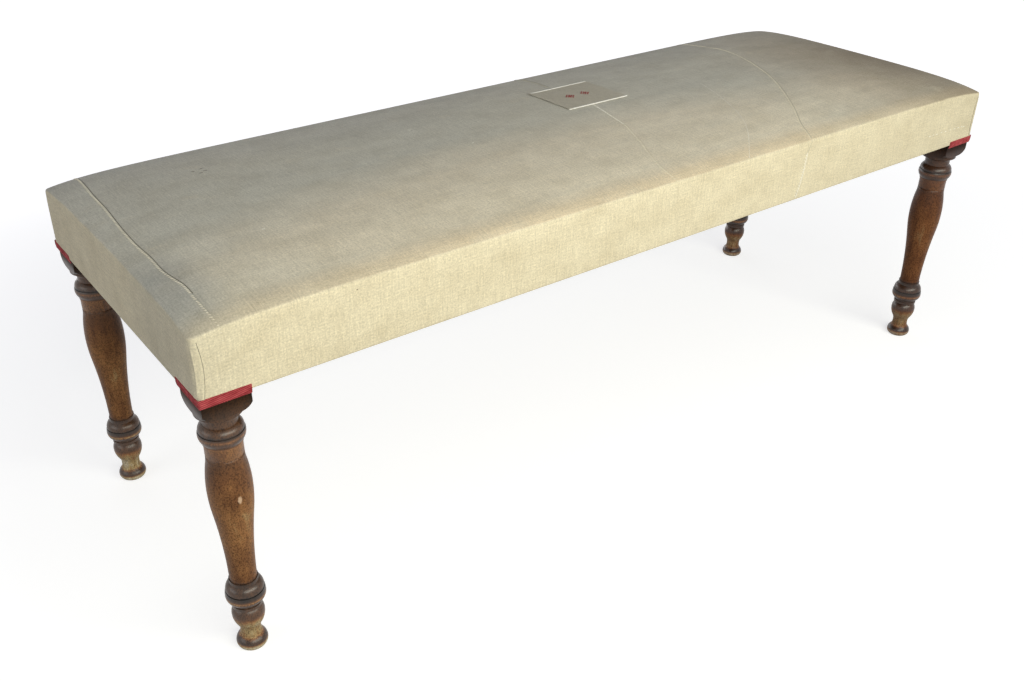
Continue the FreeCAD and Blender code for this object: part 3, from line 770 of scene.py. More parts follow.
LINEN = linen_finish()
PATCH_LINEN = plain_cloth("patch_linen", PATCH_SHADES, PATCH_PITCH, PATCH_STAIN, PATCH_SLUB)
BRAID = braid_finish()
# The walnut of the right-hand legs is a darker copy of that of the left-hand legs.
WALNUT = {
    "left": walnut_finish("walnut_left", stain=(1.0, 0.98, 0.97)),
    "right": walnut_finish("walnut_right", stain=(0.68, 0.58, 0.58)),
}
BEECH_X = beech_finish("beech_lengthwise", "x")
BEECH_Y = beech_finish("beech_crosswise", "y")
BEECH_Z = beech_finish("beech_upright", "z")
STEEL = steel_finish("screw_steel", light=(0.33, 0.31, 0.29), dark=(0.16, 0.09, 0.05))
PALE_THREAD = thread_finish("pale_thread", light=(0.78, 0.73, 0.6), dark=(0.62, 0.56, 0.43))
WHITE_THREAD = thread_finish("white_thread", light=(0.92, 0.9, 0.84), dark=(0.8, 0.77, 0.68))
RED_THREAD = thread_finish("red_thread", light=(0.3, 0.035, 0.035), dark=(0.19, 0.02, 0.022))
DARK_THREAD = thread_finish("dark_thread", light=(0.16, 0.14, 0.11), dark=(0.1, 0.085, 0.065))
# Painted shadow: a dark strip for the shadows in the seams' gaps and along the pleats' edges.
SHADOW_STRIP = thread_finish("shadow_strip", light=(0.24, 0.22, 0.18), dark=(0.16, 0.145, 0.115))
# A dim thread for stitches, also used as a strip of painted shade in the right seam's gap.
DIM_THREAD_AND_SHADE = thread_finish("dim_thread_and_shade", light=(0.52, 0.48, 0.38), dark=(0.4, 0.37, 0.28))
CALICO = hidden_cloth("calico", CALICO_PITCH, light=(0.72, 0.66, 0.54), dark=(0.64, 0.57, 0.45))
HESSIAN = hidden_cloth("hessian", HESSIAN_PITCH, light=(0.42, 0.3, 0.17), dark=(0.32, 0.22, 0.115))
WEBBING = hidden_cloth("webbing", WEBBING_PITCH, light=(0.66, 0.55, 0.38), dark=(0.55, 0.44, 0.29))
HAIR = fibre_finish("curled_hair", HAIR_CURL, light=(0.13, 0.095, 0.07), dark=(0.03, 0.022, 0.016))
WADDING = fibre_finish("cotton_felt", COTTON_CURL, light=(0.82, 0.79, 0.72), dark=(0.66, 0.62, 0.54))


# Pieces that keep the frame's shapes


def finish_frame_nodes():
    """Puts wood and steel on the nodes whose shapes stay."""
    finishes = {
        "rail_front": BEECH_X, "rail_back": BEECH_X, "rail_left": BEECH_Y, "rail_right": BEECH_Y,
        "cross_rail_left": BEECH_Y, "cross_rail_right": BEECH_Y,
        "tenon_pegs": BEECH_Y, "corner_block_screws": STEEL,
    }
    for face, side in CORNERS:
        finishes[f"corner_block_{face}_{side}"] = BEECH_Z
    for name, finish in finishes.items():
        nodes[name].data.materials.clear()
        nodes[name].data.materials.append(finish)


def leg(face, side):
    """A turned leg: the node's shape, with its curves shaded smooth."""
    node = nodes[f"leg_{face}_{side}"]
    pick(node)
    bpy.ops.object.duplicate()
    piece = named(f"turned_leg_{face}_{side}")
    for key in list(piece.keys()):
        del piece[key]
    piece.parent = None
    edit(piece)
    bpy.ops.mesh.select_all(action="SELECT")
    bpy.ops.mesh.customdata_custom_splitnormals_clear()
    bpy.ops.mesh.remove_doubles(threshold=MERGE)
    deselect()
    smooth(piece)
    settle(piece, "walnut", WALNUT[side], node.name)


finish_frame_nodes()
for face, side in CORNERS:
    leg(face, side)


# The seat, from the hair outwards


def depth_of(node):
    """How far inside the cover's outer face a node's sides lie."""
    return HALF_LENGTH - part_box(node)[1].x


def hair_stuffing():
    """The stuffed pad: a crowned form, flat where it rests on the hessian."""
    node = "hair_stuffing"
    piece, _ = seat_cloth("hair_pad", depth_of(node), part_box(node)[0].z, HEM_AT_HEAD, COARSE)
    edit(piece, "EDGE")
    bpy.ops.mesh.select_non_manifold()
    bpy.ops.mesh.edge_face_add()
    outward(piece)
    smooth(piece)
    settle(piece, "hair", HAIR, node)


def cotton_wadding():
    """The soft layer over the hair."""
    node = "cotton_wadding"
    depth = depth_of(node)
    piece, _ = seat_cloth("cotton_layer", depth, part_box(node)[0].z, HEM_AT_HEAD, COARSE)
    outward(piece)
    thicken(piece, depth_of("hair_stuffing") - depth - LAYER_GAP)
    smooth(piece)
    settle(piece, "wadding", WADDING, node)


def calico_undercover():
    """The undercover that holds the stuffing down."""
    node = "calico_undercover"
    low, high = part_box(node)
    piece, _ = seat_cloth("calico_layer", depth_of(node), low.z, CALICO_HEM, COARSE)
    outward(piece)
    thicken(piece, CALICO_THICKNESS)
    smooth(piece)
    settle(piece, "calico", CALICO, node)


def linen_cover():
    """The cover, swollen by the stuffing, with its thickness."""
    piece, rows = seat_cloth("linen_top_cover", 0, FOOT, HEM_WIDTH)
    outward(piece)
    swell(piece, rows)
    apply(piece, "SUBSURF", levels=1, render_levels=1)
    thicken(piece, COVER_THICKNESS)
    smooth(piece, COVER_ANGLE)
    return settle(piece, "linen", LINEN, "linen_cover")


hair_stuffing()
cotton_wadding()
calico_undercover()
cover = linen_cover()
bpy.context.view_layer.update()


# Needlework on the cover

# How far outside the cover a search for its face starts.
PROBE_REACH = 0.03

# Seams in the cover's flat cut, along it and across it. Past the top's edge they run on down its side.
LEFT_SEAM = ((-0.61, 0.245), (-0.612, 0.198), (-0.617, 0.133), (-0.619, 0.079), (-0.623, 0.02),
             (-0.6245, -0.03), (-0.6235, -0.065), (-0.624, -0.107), (-0.619, -0.143), (-0.6188, -0.165))
LEFT_FRONT_SEAM = ((-0.6188, -0.165), (-0.619, -0.18), (-0.618, -0.21), (-0.615, -0.243))
BACK_SEAM = ((0.082, 0.3), (0.076, 0.183), (0.068, 0.127))
FRAYED_SEAM = ((0.0655, 0.035), (0.063, 0.011), (0.053, -0.03), (0.045, -0.065))
MIDDLE_SEAM = ((0.045, -0.065), (0.021, -0.12), (-0.008, -0.188), (-0.011, -0.25))
RIGHT_SEAM = ((0.432, 0.3), (0.437, 0.16), (0.439, 0.121), (0.423, 0.06), (0.39, -0.013), (0.352, -0.073),
              (0.298, -0.145), (0.26, -0.192), (0.236, -0.24))
RIGHT_FRONT_SEAM = ((0.236, -0.24), (0.232, -0.275), (0.225, -0.305))
OLD_CREASE = ((0.265, 0.007), (0.239, -0.062), (0.191, -0.15), (0.115, -0.228))

# Profiles of a seam, of the gap beside it and of a crease: distances across and heights.
SEAM_STEP = 0.004
SEAM_WIDTH = 0.002
SEAM_FLAT = 0.0008
SEAM_HEIGHT = 0.00015
SEAM_SINK = 0.0001
GAP_START = 0.0005
GAP_WIDTH = 0.0009
GAP_LIFT = 0.00015
CREASE_WIDTH = 0.0007
SEAM_PROFILE = ((-SEAM_WIDTH / 2, -SEAM_SINK), (-SEAM_FLAT / 2, SEAM_HEIGHT),
                (SEAM_FLAT / 2, SEAM_HEIGHT), (SEAM_WIDTH / 2, -SEAM_SINK))
GAP_PROFILE = ((GAP_START, SEAM_HEIGHT + GAP_LIFT), (GAP_START + GAP_WIDTH, SEAM_HEIGHT + GAP_LIFT))
CREASE_PROFILE = ((-CREASE_WIDTH / 2, -SEAM_SINK), (0, SEAM_HEIGHT), (CREASE_WIDTH / 2, -SEAM_SINK))

# Stitches: their counts of faces, their size, how they slant along a seam, and how both vary.
STITCH_SEGMENTS = 6
STITCH_RINGS = 4
STITCH_LENGTH = 0.0045
STITCH_SPREAD_SHARES = (0.7, 1.1)
END_SLANT = 0.3
TOP_SLANT = 0.6
SLANT_SPREAD = 0.4

# Small mends in the same flat cut, and how far their stitches lean.
DARN = ((-0.498, 0.119), (-0.492, 0.108), (-0.486, 0.122), (-0.485, 0.112))
DARN_LENGTH = 0.006
DOT = ((-0.4685, -0.234),)
DOT_LENGTH = 0.002
DARNING = ((0.531, -0.278), (0.54, -0.2775), (0.549, -0.278), (0.561, -0.2772), (0.572, -0.2775),
           (0.584, -0.277), (0.596, -0.277), (0.606, -0.2765), (0.615, -0.276), (0.6215, -0.276),
           (-0.503, -0.086), (-0.205, 0.087), (-0.166, -0.005))
DARNING_LENGTH = 0.0045
MARK_WIDTH = 0.0013
MARK_LEAN = 0.3

# Pleats at the corners: distances round a corner, the fold's height, profile and fade at its top, and the
# width of the painted shadow along its edge.
FOLD_ROWS = 24
FOLD_TOP = 0.003
FOLD_START = -0.012
FOLD_EDGE = 0.0057
FOLD_BOW = 0.0032
FOLD_HEIGHT = 0.001
FOLD_PROFILE_SHARES = ((0, 0), (0.3, 0.45), (0.6, 0.7), (0.85, 0.95), (0.95, 1), (0.99, 0.8), (1, 0.0))
FOLD_FADE = 8
FOLD_END_SHARE = 0.25
PLEAT_SHADOW_WIDTH = 0.0006


def on_cover(along, across):
    """The cover's face and its way out at a place of the flat cut, which runs on down front and back."""
    past = abs(across) - HALF_DEPTH
    if past <= 0:
        start = Vector((along, across, CROWN + PROBE_REACH))
        aim = -UP
    else:
        aim = Vector((0, -math.copysign(1, across), 0))
        level = max(FOOT + SEAM_WIDTH, seat_level(along, across) - past)
        start = Vector((along, across, level)) - PROBE_REACH * aim
    _, point, normal, _ = cover.ray_cast(start, aim)
    return point, normal


def round_corner(face, side, along, level):
    """The cover's face at a corner: along is measured round it, from the end to the front or back."""
    centre = Vector((HALF_LENGTH - CORNER_ROUND, HALF_DEPTH - CORNER_ROUND, level))
    arc = CORNER_ROUND * QUARTER / 2
    turn = QUARTER / 2 + max(-arc, min(arc, along)) / CORNER_ROUND
    out = Vector((math.cos(turn), math.sin(turn), 0))
    run = max(0, abs(along) - arc)
    spot = centre + CORNER_ROUND * out
    if along > 0:
        spot.x -= run
    else:
        spot.y -= run
    turned = Vector((SIDES[side], FACES[face], 1))
    spot, out = spot * turned, out * turned
    hit, point, _, _ = cover.ray_cast(spot + PROBE_REACH * out, -out)
    return (point if hit else spot), out


def outward_from_cover(piece):
    """Turns an open strip so that it faces away from the seat, and shades it smooth."""
    middle = piece.data.polygons[len(piece.data.polygons) // 2]
    _, _, normal, _ = cover.closest_point_on_mesh(middle.center)
    if middle.normal.dot(normal) < 0:
        piece.data.flip_normals()
    smooth(piece)


def lay_on_cover(name, rows, columns, place, slot, finish):
    """An open strip that lies on the cover and faces out."""
    piece = lay_grid(name, rows, columns, place)
    outward_from_cover(piece)
    return settle(piece, slot, finish)


def stitch_shape():
    """One stitch: a short lozenge of thread, as long as it is wide until it is sewn."""
    deselect()
    bpy.ops.mesh.primitive_uv_sphere_add(segments=STITCH_SEGMENTS, ring_count=STITCH_RINGS, radius=1 / 2)
    shape = named("stitch_shape").data
    bpy.data.objects.remove(bpy.context.object)
    return shape


def sew(name, stitches, finish, slot):
    """Sews stitches or drives tacks, each with its place, way out, direction, length, width and height."""
    whole = bmesh.new()
    for place, out, along, length, width, height in stitches:
        before = len(whole.verts)
        whole.from_mesh(STITCH)
        whole.verts.ensure_lookup_table()
        side = out.cross(along).normalized()
        turn = Matrix((along.normalized(), side, out)).transposed().to_4x4()
        shape = Matrix.Translation(place) @ turn @ Matrix.Diagonal((length, width, height, 1))
        bmesh.ops.transform(whole, matrix=shape, verts=whole.verts[before:])
    mesh = bpy.data.meshes.new(name)
    whole.to_mesh(mesh)
    whole.free()
    piece = bpy.data.objects.new(name, mesh)
    bpy.context.scene.collection.objects.link(piece)
    smooth(piece, math.pi)
    return settle(piece, slot, finish)


def strip(name, line, laid, profile, finish, crowded=False):
    """A narrow strip with a profile along a line of the flat cut, its weave crowded across it if asked."""

    def place(row, column):
        point, out = laid[row]
        ahead = laid[min(row + 1, len(laid) - 1)][0] - laid[max(row - 1, 0)][0]
        across, height = profile[column]
        spot = point + out.cross(ahead).normalized() * across + out * height
        weave = across / SEAM_WIDTH if crowded else line[row].x + across
        return spot, (weave, line[row].y)

    return lay_on_cover(name, len(laid), len(profile), place, "linen", finish)


def seam(name, points, slant, finish, shade):
    """A sewn join in the cover: a low ridge, a strip in the gap on its right, which paints the gap's shadow
    when its finish is dark, and whip stitches on its left.
    """
    line = route(points, SEAM_STEP)
    laid = [on_cover(*spot) for spot in line]
    ridge = strip(f"{name}_seam", line, laid, SEAM_PROFILE, LINEN)
    gap = strip(f"{name}_seam_gap", line, laid, GAP_PROFILE, shade, crowded=True)
    stitches = []
    for before, (point, out), after in zip(laid, laid[1:], laid[2:]):
        ahead = (after[0] - before[0]).normalized()
        across = out.cross(ahead)
        along = across + ahead * draw.uniform(slant, slant + SLANT_SPREAD)
        reach = STITCH_LENGTH * draw.uniform(*STITCH_SPREAD_SHARES)
        spot = point + out * SEAM_HEIGHT - across * STITCH_LENGTH / 4
        stitches.append((spot, out, along, reach, STITCH_WIDTH, STITCH_WIDTH))
    thread = sew(f"{name}_seam_stitches", stitches, finish, "linen")
    return [ridge, gap, thread]


def crease(name, points):
    """A worn fold in the cover: a low pale ridge along a line."""
    line = route(points, SEAM_STEP)
    laid = [on_cover(*spot) for spot in line]
    return strip(name, line, laid, CREASE_PROFILE, WHITE_THREAD)


def mend(name, places, length, finish):
    """Small stitches on the cover at places of its flat cut."""
    stitches = []
    for along, across in places:
        point, out = on_cover(along, across)
        lean = Vector((1, draw.uniform(-MARK_LEAN, MARK_LEAN), 0))
        stitches.append((point, out, lean - out * lean.dot(out), length, MARK_WIDTH, STITCH_WIDTH))
    return sew(name, stitches, finish, "linen")


def corner_fold(face, side):
    """The pleat at a corner: the end's cloth folded round it and turned under on the front or back, with a
    strip of painted shadow along the fold's edge.
    """
    top = seat_level(HALF_LENGTH, HALF_DEPTH) - FOLD_TOP
    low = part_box(f"braid_{face}_{side}")[1].z

    def folded_edge(share):
        """The height at a share of the fold, and how far round the corner its edge lies there."""
        return low + (top - low) * share, FOLD_EDGE + FOLD_BOW * math.sin(math.pi * share)

    def fold_place(row, column):
        share = row / (FOLD_ROWS - 1)
        level, edge = folded_edge(share)
        reach, lift = FOLD_PROFILE_SHARES[column]
        along = FOLD_START + (edge - FOLD_START) * reach
        point, out = round_corner(face, side, along, level)
        fade = min(1, (1 - share) * FOLD_FADE + FOLD_END_SHARE)
        return point + out * (lift * FOLD_HEIGHT * fade - SEAM_SINK), (along, level)

    def shadow_place(row, column):
        level, edge = folded_edge(row / (FOLD_ROWS - 1))
        along = edge + column * PLEAT_SHADOW_WIDTH
        point, out = round_corner(face, side, along, level)
        return point + out * GAP_LIFT, (along, level)

    columns = len(FOLD_PROFILE_SHARES)
    fold = lay_on_cover(f"linen_corner_{face}_{side}", FOLD_ROWS, columns, fold_place, "linen", LINEN)
    # Painted shadow: a dark strip along the fold's edge.
    line = lay_on_cover(f"pleat_shadow_{face}_{side}", FOLD_ROWS, 2, shadow_place, "linen", SHADOW_STRIP)
    return [fold, line]


STITCH = stitch_shape()
sewn = []
# The left and back seams' gaps are strips of painted shadow, the right seam's gap a strip of dimmer painted
# shade.
sewn += seam("left", LEFT_SEAM, END_SLANT, PALE_THREAD, SHADOW_STRIP)
sewn += seam("left_front", LEFT_FRONT_SEAM, END_SLANT, PALE_THREAD, LINEN)
sewn += seam("back", BACK_SEAM, TOP_SLANT, DIM_THREAD_AND_SHADE, SHADOW_STRIP)
sewn += seam("frayed", FRAYED_SEAM, TOP_SLANT, WHITE_THREAD, PALE_THREAD)
sewn += seam("middle", MIDDLE_SEAM, TOP_SLANT, PALE_THREAD, LINEN)
sewn += seam("right", RIGHT_SEAM, TOP_SLANT, PALE_THREAD, DIM_THREAD_AND_SHADE)
sewn += seam("right_front", RIGHT_FRONT_SEAM, TOP_SLANT, WHITE_THREAD, WHITE_THREAD)
sewn.append(crease("old_crease", OLD_CREASE))
sewn.append(mend("darn_stitches", DARN, DARN_LENGTH, DARK_THREAD))
sewn.append(mend("dot_stitch", DOT, DOT_LENGTH, DARK_THREAD))
sewn.append(mend("darning_stitches", DARNING, DARNING_LENGTH, WHITE_THREAD))
for face, side in CORNERS:
    sewn += corner_fold(face, side)


# The patch

patch_low, patch_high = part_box("sewn_patch")
PATCH_ROWS = 45
PATCH_COLUMNS = 39
PATCH_LIFT = 0.0006
PATCH_THICKNESS = 0.0005

# Its left edge curls up, more steeply with a higher power, and its edges ripple, by radians per metre.
CURL_HEIGHT = 0.0007
CURL_POWER = 12
RIPPLE_HEIGHT = 0.0003
RIPPLE_RATE = 150
RIPPLE_POWER = 8

# Its hems, which vary in width, and the crosses of its motif.
PATCH_HEM_ROWS = 2 * PATCH_ROWS
PATCH_HEM_WIDTH = 0.0032
PATCH_HEM_HEIGHT = 0.0008
HEM_SPREAD_SHARES = (0.75, 1.15)
HEM_PROFILE_SHARES = ((-0.5, -0.3), (-0.35, 0.6), (0, 1), (0.35, 0.6), (0.5, -0.3))
CROSS_PITCH = 0.0023
DIAMOND_REACH = 3
DIAMOND_OFFSET = 0.014


def patch_hem(name, level):
    """A frayed white hem along one long side of the patch."""
    widths = [draw.uniform(*HEM_SPREAD_SHARES) for _ in range(PATCH_HEM_ROWS)]

    def place(row, column):
        across, lift = HEM_PROFILE_SHARES[column]
        x = patch_low.x + (patch_high.x - patch_low.x) * row / (PATCH_HEM_ROWS - 1)
        y = level + across * PATCH_HEM_WIDTH * widths[row]
        point, out = on_cover(x, y)
        return point + out * (PATCH_LIFT + lift * PATCH_HEM_HEIGHT * widths[row]), (x, y)

    columns = len(HEM_PROFILE_SHARES)
    return lay_on_cover(f"patch_hem_{name}", PATCH_HEM_ROWS, columns, place, "patch_linen", WHITE_THREAD)


def motif():
    """Two small diamonds in cross stitch."""
    middle = (patch_low + patch_high) / 2
    reach = range(-DIAMOND_REACH, DIAMOND_REACH + 1)
    cells = [(i, j) for i in reach for j in reach if abs(i) + abs(j) in (0, 1, DIAMOND_REACH)]
    length = CROSS_PITCH * math.sqrt(2)
    stitches = []
    for side in SIDES.values():
        for i, j in cells:
            x = middle.x + side * DIAMOND_OFFSET + i * CROSS_PITCH
            point, out = on_cover(x, middle.y + j * CROSS_PITCH)
            spot = point + out * (PATCH_LIFT + STITCH_WIDTH / 4)
            for lean in (-1, 1):
                stitches.append((spot, out, Vector((1, lean, 0)), length, CROSS_PITCH / 3, STITCH_WIDTH))
    return sew("patch_motif", stitches, RED_THREAD, "patch_linen")


def sewn_patch():
    """The patch: a small cloth laid over the crown, its left edge a little lifted."""
    size = patch_high - patch_low

    def place(row, column):
        across, up = row / (PATCH_ROWS - 1), column / (PATCH_COLUMNS - 1)
        flat = Vector((size.x * across, size.y * up))
        point, out = on_cover(*(patch_low.xy + flat))
        curl = CURL_HEIGHT * (1 - across) ** CURL_POWER
        ripple = RIPPLE_HEIGHT * math.sin(RIPPLE_RATE * flat.y) * (2 * across - 1) ** RIPPLE_POWER
        return point + out * (PATCH_LIFT + curl + ripple), flat

    piece = lay_grid("sewn_patch_cloth", PATCH_ROWS, PATCH_COLUMNS, place)
    outward_from_cover(piece)
    thicken(piece, PATCH_THICKNESS)
    smooth(piece)
    settle(piece, "patch_linen", PATCH_LINEN, "sewn_patch")
    back = patch_hem("back", patch_high.y - PATCH_HEM_WIDTH / 3)
    front = patch_hem("front", patch_low.y + PATCH_HEM_WIDTH / 3)
    motif()


sewn_patch()


# Braid at the heads of the legs

BRAID_ROWS = 260
BRAID_COLUMNS = 23
BRAID_ROUND = 0.003
BRAID_THICKNESS = 0.001
BRAID_RIB = 0.0021
BRAID_RELIEF = 0.0002
BRAID_TUCK = 0.0012
TUCK_POWER = 3
HERRINGBONE_BANDS = 4


def braid(face, side):
    """A herringbone tape round the two outer faces of a leg's head, tucked in at its foot."""
    node = f"braid_{face}_{side}"
    low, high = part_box(node)
    reach = Vector((max(abs(low.x), abs(high.x)), max(abs(low.y), abs(high.y)), 0))
    run_x, run_y = high.x - low.x - BRAID_ROUND, high.y - low.y - BRAID_ROUND
    arc = BRAID_ROUND * QUARTER
    whole = run_x + arc + run_y
    height = high.z - low.z
    turned = Vector((SIDES[side], FACES[face], 1))

    def place(row, column):
        along = whole * row / (BRAID_ROWS - 1)
        up = column / (BRAID_COLUMNS - 1)
        turn = max(0, min(QUARTER, (along - run_y) / BRAID_ROUND))
        out = Vector((math.cos(turn), math.sin(turn), 0))
        spot = reach - Vector((BRAID_ROUND, BRAID_ROUND, 0)) + BRAID_ROUND * out
        spot.y -= max(0, run_y - along)
        spot.x -= max(0, along - run_y - arc)
        slope = abs(HERRINGBONE_BANDS * up % 2 - 1) * height / HERRINGBONE_BANDS
        rib = BRAID_RELIEF * math.cos(math.tau * (along + slope) / BRAID_RIB)
        edge = min(up, 1 - up) * BRAID_COLUMNS / 2
        tuck = BRAID_TUCK * (1 - up) ** TUCK_POWER
        spot += out * (rib * min(1, edge) - BRAID_RELIEF - tuck) + UP * (low.z + up * height)
        return spot * turned, (along, up * height)

    piece = lay_grid(f"braid_tape_{face}_{side}", BRAID_ROWS, BRAID_COLUMNS, place)
    outward_from_cover(piece)
    thicken(piece, BRAID_THICKNESS - BRAID_RELIEF)
    smooth(piece)
    settle(piece, "braid", BRAID, node)


for face, side in CORNERS:
    braid(face, side)


# Under the seat

long_low, long_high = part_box("webbing_long_straps")
cross_low, cross_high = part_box("webbing_cross_straps")
rail_in = Vector((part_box("rail_right")[0].x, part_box("rail_back")[0].y, 0))
WEAVE_LEVEL = long_high.z
LONG_STRAPS = 3
CROSS_STRAPS = 9
STRAP_WIDTH = 0.05
STRAP_THICKNESS = 0.0014
STRAP_COLUMNS = 5
STRAP_STEP = 0.012
HESSIAN_ROWS = 60
HESSIAN_COLUMNS = 24
HESSIAN_THICKNESS = 0.0009
TACK_PITCH = 0.038
TACK_STRAY_SHARE = 0.1
TACK_WIDTH = 0.0075
TACK_HEIGHT = 0.0022
TACK_INSET = 0.009


def spread(low, high, count):
    """Middles of straps spread evenly between two limits."""
    first, last = low + STRAP_WIDTH / 2, high - STRAP_WIDTH / 2
    return [first + (last - first) * index / (count - 1) for index in range(count)]


def strap(name, middle, half, rail, crossings, over, turned):
    """One strap, over and under those that cross it, and down onto the rails at its ends."""
    rows = 2 * round(half / STRAP_STEP) + 1
    pitch = crossings[1] - crossings[0]
    woven_half = crossings[-1] + STRAP_WIDTH / 2

    def place(row, column):
        along = half * (2 * row / (rows - 1) - 1)
        across = STRAP_WIDTH * (column / (STRAP_COLUMNS - 1) - 0.5)
        wave = math.cos(math.pi * ((along - crossings[0]) / pitch + over))
        clear = max(0, min(1, (abs(along) - woven_half) / (rail - woven_half)))
        level = WEAVE_LEVEL + STRAP_THICKNESS / 2 * (wave * (1 - clear) - clear)
        spot = (along, middle + across) if turned else (middle + across, along)
        return Vector((*spot, level + STRAP_THICKNESS / 2)), (across, along)

    piece = lay_grid(name, rows, STRAP_COLUMNS, place)
    face_up(piece)
    thicken(piece, STRAP_THICKNESS)
    return piece


def webbing(name, node, middles, half, rail, crossings, turned):
    """A set of parallel straps as one piece."""
    made = []
    for index, middle in enumerate(middles):
        made.append(strap(f"{name}_{index}", middle, half, rail, crossings, index + int(turned), turned))
    pick(made[0])
    for piece in made:
        piece.select_set(True)
    bpy.ops.object.join()
    whole = named(name)
    smooth(whole)
    settle(whole, "webbing", WEBBING, node)


def hessian_base():
    """The open cloth over the webbing."""
    low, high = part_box("hessian_base")
    size = high - low

    def place(row, column):
        flat = Vector((size.x * row / (HESSIAN_ROWS - 1), size.y * column / (HESSIAN_COLUMNS - 1)))
        return Vector((*(low.xy + flat), high.z)), flat

    piece = lay_grid("hessian_cloth", HESSIAN_ROWS, HESSIAN_COLUMNS, place)
    face_up(piece)
    thicken(piece, HESSIAN_THICKNESS)
    settle(piece, "hessian", HESSIAN, "hessian_base")


def tacks():
    """Tacks that hold the cover's hem under the rails."""
    driven = []
    for run, gap in ((ALONG, ACROSS), (ACROSS, ALONG)):
        reach = Vector((HEAD_IN_X, HEAD_IN_Y, 0)).dot(run) - TACK_PITCH / 2
        inset = Vector((HALF_LENGTH, HALF_DEPTH, 0)).dot(gap) - TACK_INSET
        count = round(2 * reach / TACK_PITCH)
        for way in (-1, 1):
            for index in range(count + 1):
                stray = draw.uniform(-TACK_STRAY_SHARE, TACK_STRAY_SHARE) * TACK_PITCH
                along = -reach + 2 * reach * index / count + stray
                spot = run * along + gap * way * inset + UP * FOOT
                driven.append((spot, -UP, run, TACK_WIDTH, TACK_WIDTH, TACK_HEIGHT))
    sew("hem_tacks", driven, STEEL, "screw_steel")


long_middles = spread(long_low.y, long_high.y, LONG_STRAPS)
cross_middles = spread(cross_low.x, cross_high.x, CROSS_STRAPS)
webbing("webbing_along", "webbing_long_straps",
        long_middles, long_high.x, rail_in.x, cross_middles, True)
webbing("webbing_across", "webbing_cross_straps",
        cross_middles, cross_high.y, rail_in.y, long_middles, False)
hessian_base()
tacks()


# Camera, light and floor

CAMERA_PLACE = (-0.9286, -1.0735, 0.9388)
CAMERA_PAN = math.radians(36.23)
CAMERA_TILT = math.radians(30.68)
CAMERA_ROLL = math.radians(0.29)
CAMERA_LENS = 37.22
CAMERA_SENSOR = 36
CAMERA_SHIFT = (0.0268, 0.0009)

# The floor: its size, its colour as it lights and as it is seen, and its lift to white further away.
FLOOR_SIDES = 96
FLOOR_RADIUS = 14
FLOOR_GAP = 0.0003
FLOOR_BOUNCE = (0.26, 0.25, 0.24)
FLOOR_SEEN = (0.5, 0.5, 0.5)
FLOOR_NEAR = 0.8
FLOOR_FAR = 2.4
FLOOR_NEAR_LIFT = 0.66
FLOOR_FAR_LIFT = 0.95

SKY_TINT = (0.21, 0.215, 0.26)
WINDOWS = {
    "front_window": {
        "place": (-0.1, -1.5, 1.0), "aim": (-0.1, 0, 0.42), "length": 2.2, "height": 0.5,
        "power": 33, "tint": (1.0, 1.0, 0.87),
    },
    "side_window": {
        "place": (-2.0, 0.1, 0.6), "aim": (-0.65, 0, 0.4), "length": 1.2, "height": 0.6,
        "power": 5.8, "tint": (0.98, 1.0, 0.98),
    },
    "back_window": {
        "place": (0.2, 2.2, 0.3), "aim": (0, 0.2, 0.36), "length": 2.2, "height": 0.5,
        "power": 14, "tint": WHITE,
    },
}


def camera():
    """The photograph's camera."""
    bpy.ops.object.camera_add()
    eye = bpy.context.object
    turn = (Matrix.Rotation(-CAMERA_PAN, 4, "Z") @ Matrix.Rotation(QUARTER - CAMERA_TILT, 4, "X")
            @ Matrix.Rotation(CAMERA_ROLL, 4, "Z"))
    eye.matrix_world = Matrix.Translation(CAMERA_PLACE) @ turn
    eye.data.lens = CAMERA_LENS
    eye.data.sensor_width = CAMERA_SENSOR
    eye.data.shift_x, eye.data.shift_y = CAMERA_SHIFT
    bpy.context.scene.camera = eye


def window(name, place, aim, length, height, power, tint):
    """Soft light from a long window."""
    bpy.ops.object.light_add(type="AREA", location=place)
    light = named(name)
    light.visible_camera = False
    light.data.shape = "RECTANGLE"
    light.data.size = length
    light.data.size_y = height
    light.data.energy = power
    light.data.color = tint
    light.rotation_euler = (Vector(aim) - Vector(place)).to_track_quat("-Z", "Y").to_euler()


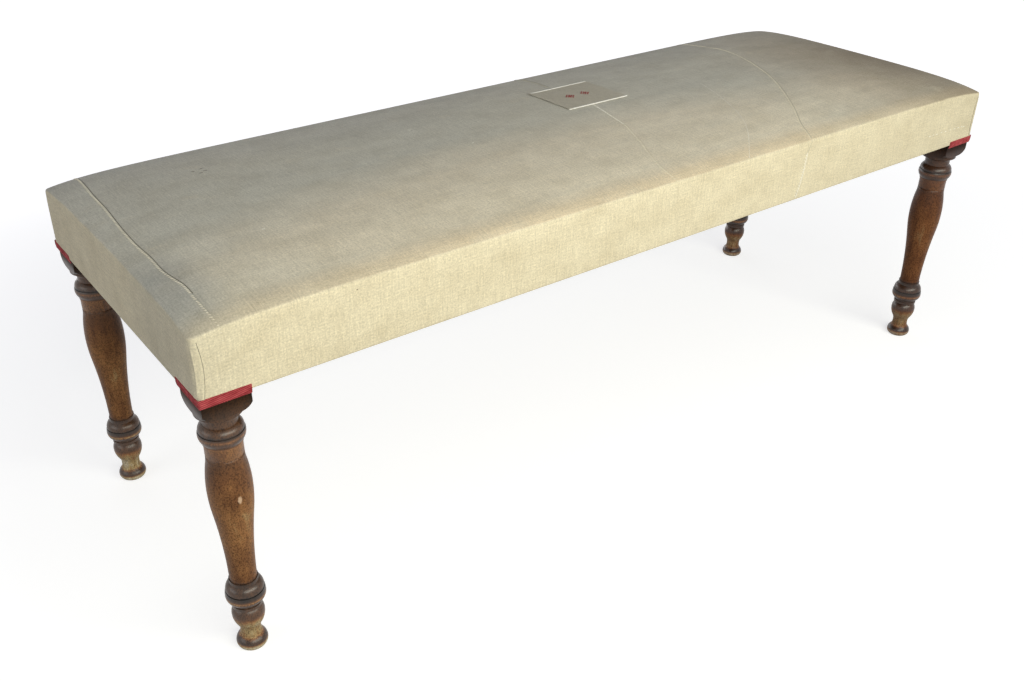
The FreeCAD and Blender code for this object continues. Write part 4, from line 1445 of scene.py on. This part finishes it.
def seen_directly(tree):
    """One for rays that the camera sees by itself, in gloss or through glass."""
    path = put(tree, "ShaderNodeLightPath")
    direct = calc(tree, "MAXIMUM", path.outputs["Is Camera Ray"], path.outputs["Is Glossy Ray"])
    return calc(tree, "MAXIMUM", direct, path.outputs["Is Transmission Ray"])


def floor():
    """A pale floor that keeps the shadow, and that is clear from below."""
    deselect()
    bpy.ops.mesh.primitive_circle_add(vertices=FLOOR_SIDES, radius=FLOOR_RADIUS, fill_type="NGON")
    piece = named("floor")
    piece.location.z = -FLOOR_GAP
    material, tree, shader = new_finish("floor", Roughness=0.9, Specular_IOR_Level=0.1)
    tree.links.new(mix(tree, seen_directly(tree), FLOOR_BOUNCE, FLOOR_SEEN), shader.inputs["Base Color"])
    shader.inputs["Emission Color"].default_value = (*WHITE, 1)
    place = put(tree, "ShaderNodeTexCoord").outputs["Object"]
    away = put(tree, "ShaderNodeVectorMath", {0: place}, operation="LENGTH").outputs["Value"]
    limits = {"From Min": FLOOR_NEAR, "From Max": FLOOR_FAR,
              "To Min": FLOOR_NEAR_LIFT, "To Max": FLOOR_FAR_LIFT}
    lift = put(tree, "ShaderNodeMapRange", {"Value": away, **limits}).outputs["Result"]
    tree.links.new(calc(tree, "MULTIPLY", seen_directly(tree), lift), shader.inputs["Emission Strength"])
    geometry = put(tree, "ShaderNodeNewGeometry")
    below = put(tree, "ShaderNodeBsdfTransparent")
    inputs = {0: geometry.outputs["Backfacing"], 1: shader.outputs["BSDF"], 2: below.outputs["BSDF"]}
    surface = put(tree, "ShaderNodeMixShader", inputs)
    tree.links.new(surface.outputs["Shader"], tree.nodes["Material Output"].inputs["Surface"])
    piece.data.materials.append(material)


def sky():
    """Even light all round, and white behind."""
    world = bpy.data.worlds.new("studio")
    world.use_nodes = True
    tree = world.node_tree
    backdrop = tree.nodes["Background"]
    tree.links.new(mix(tree, seen_directly(tree), SKY_TINT, WHITE), backdrop.inputs["Color"])
    bpy.context.scene.world = world


camera()
floor()
sky()
for name, settings in WINDOWS.items():
    window(name, **settings)
bpy.context.scene.view_settings.view_transform = "Standard"
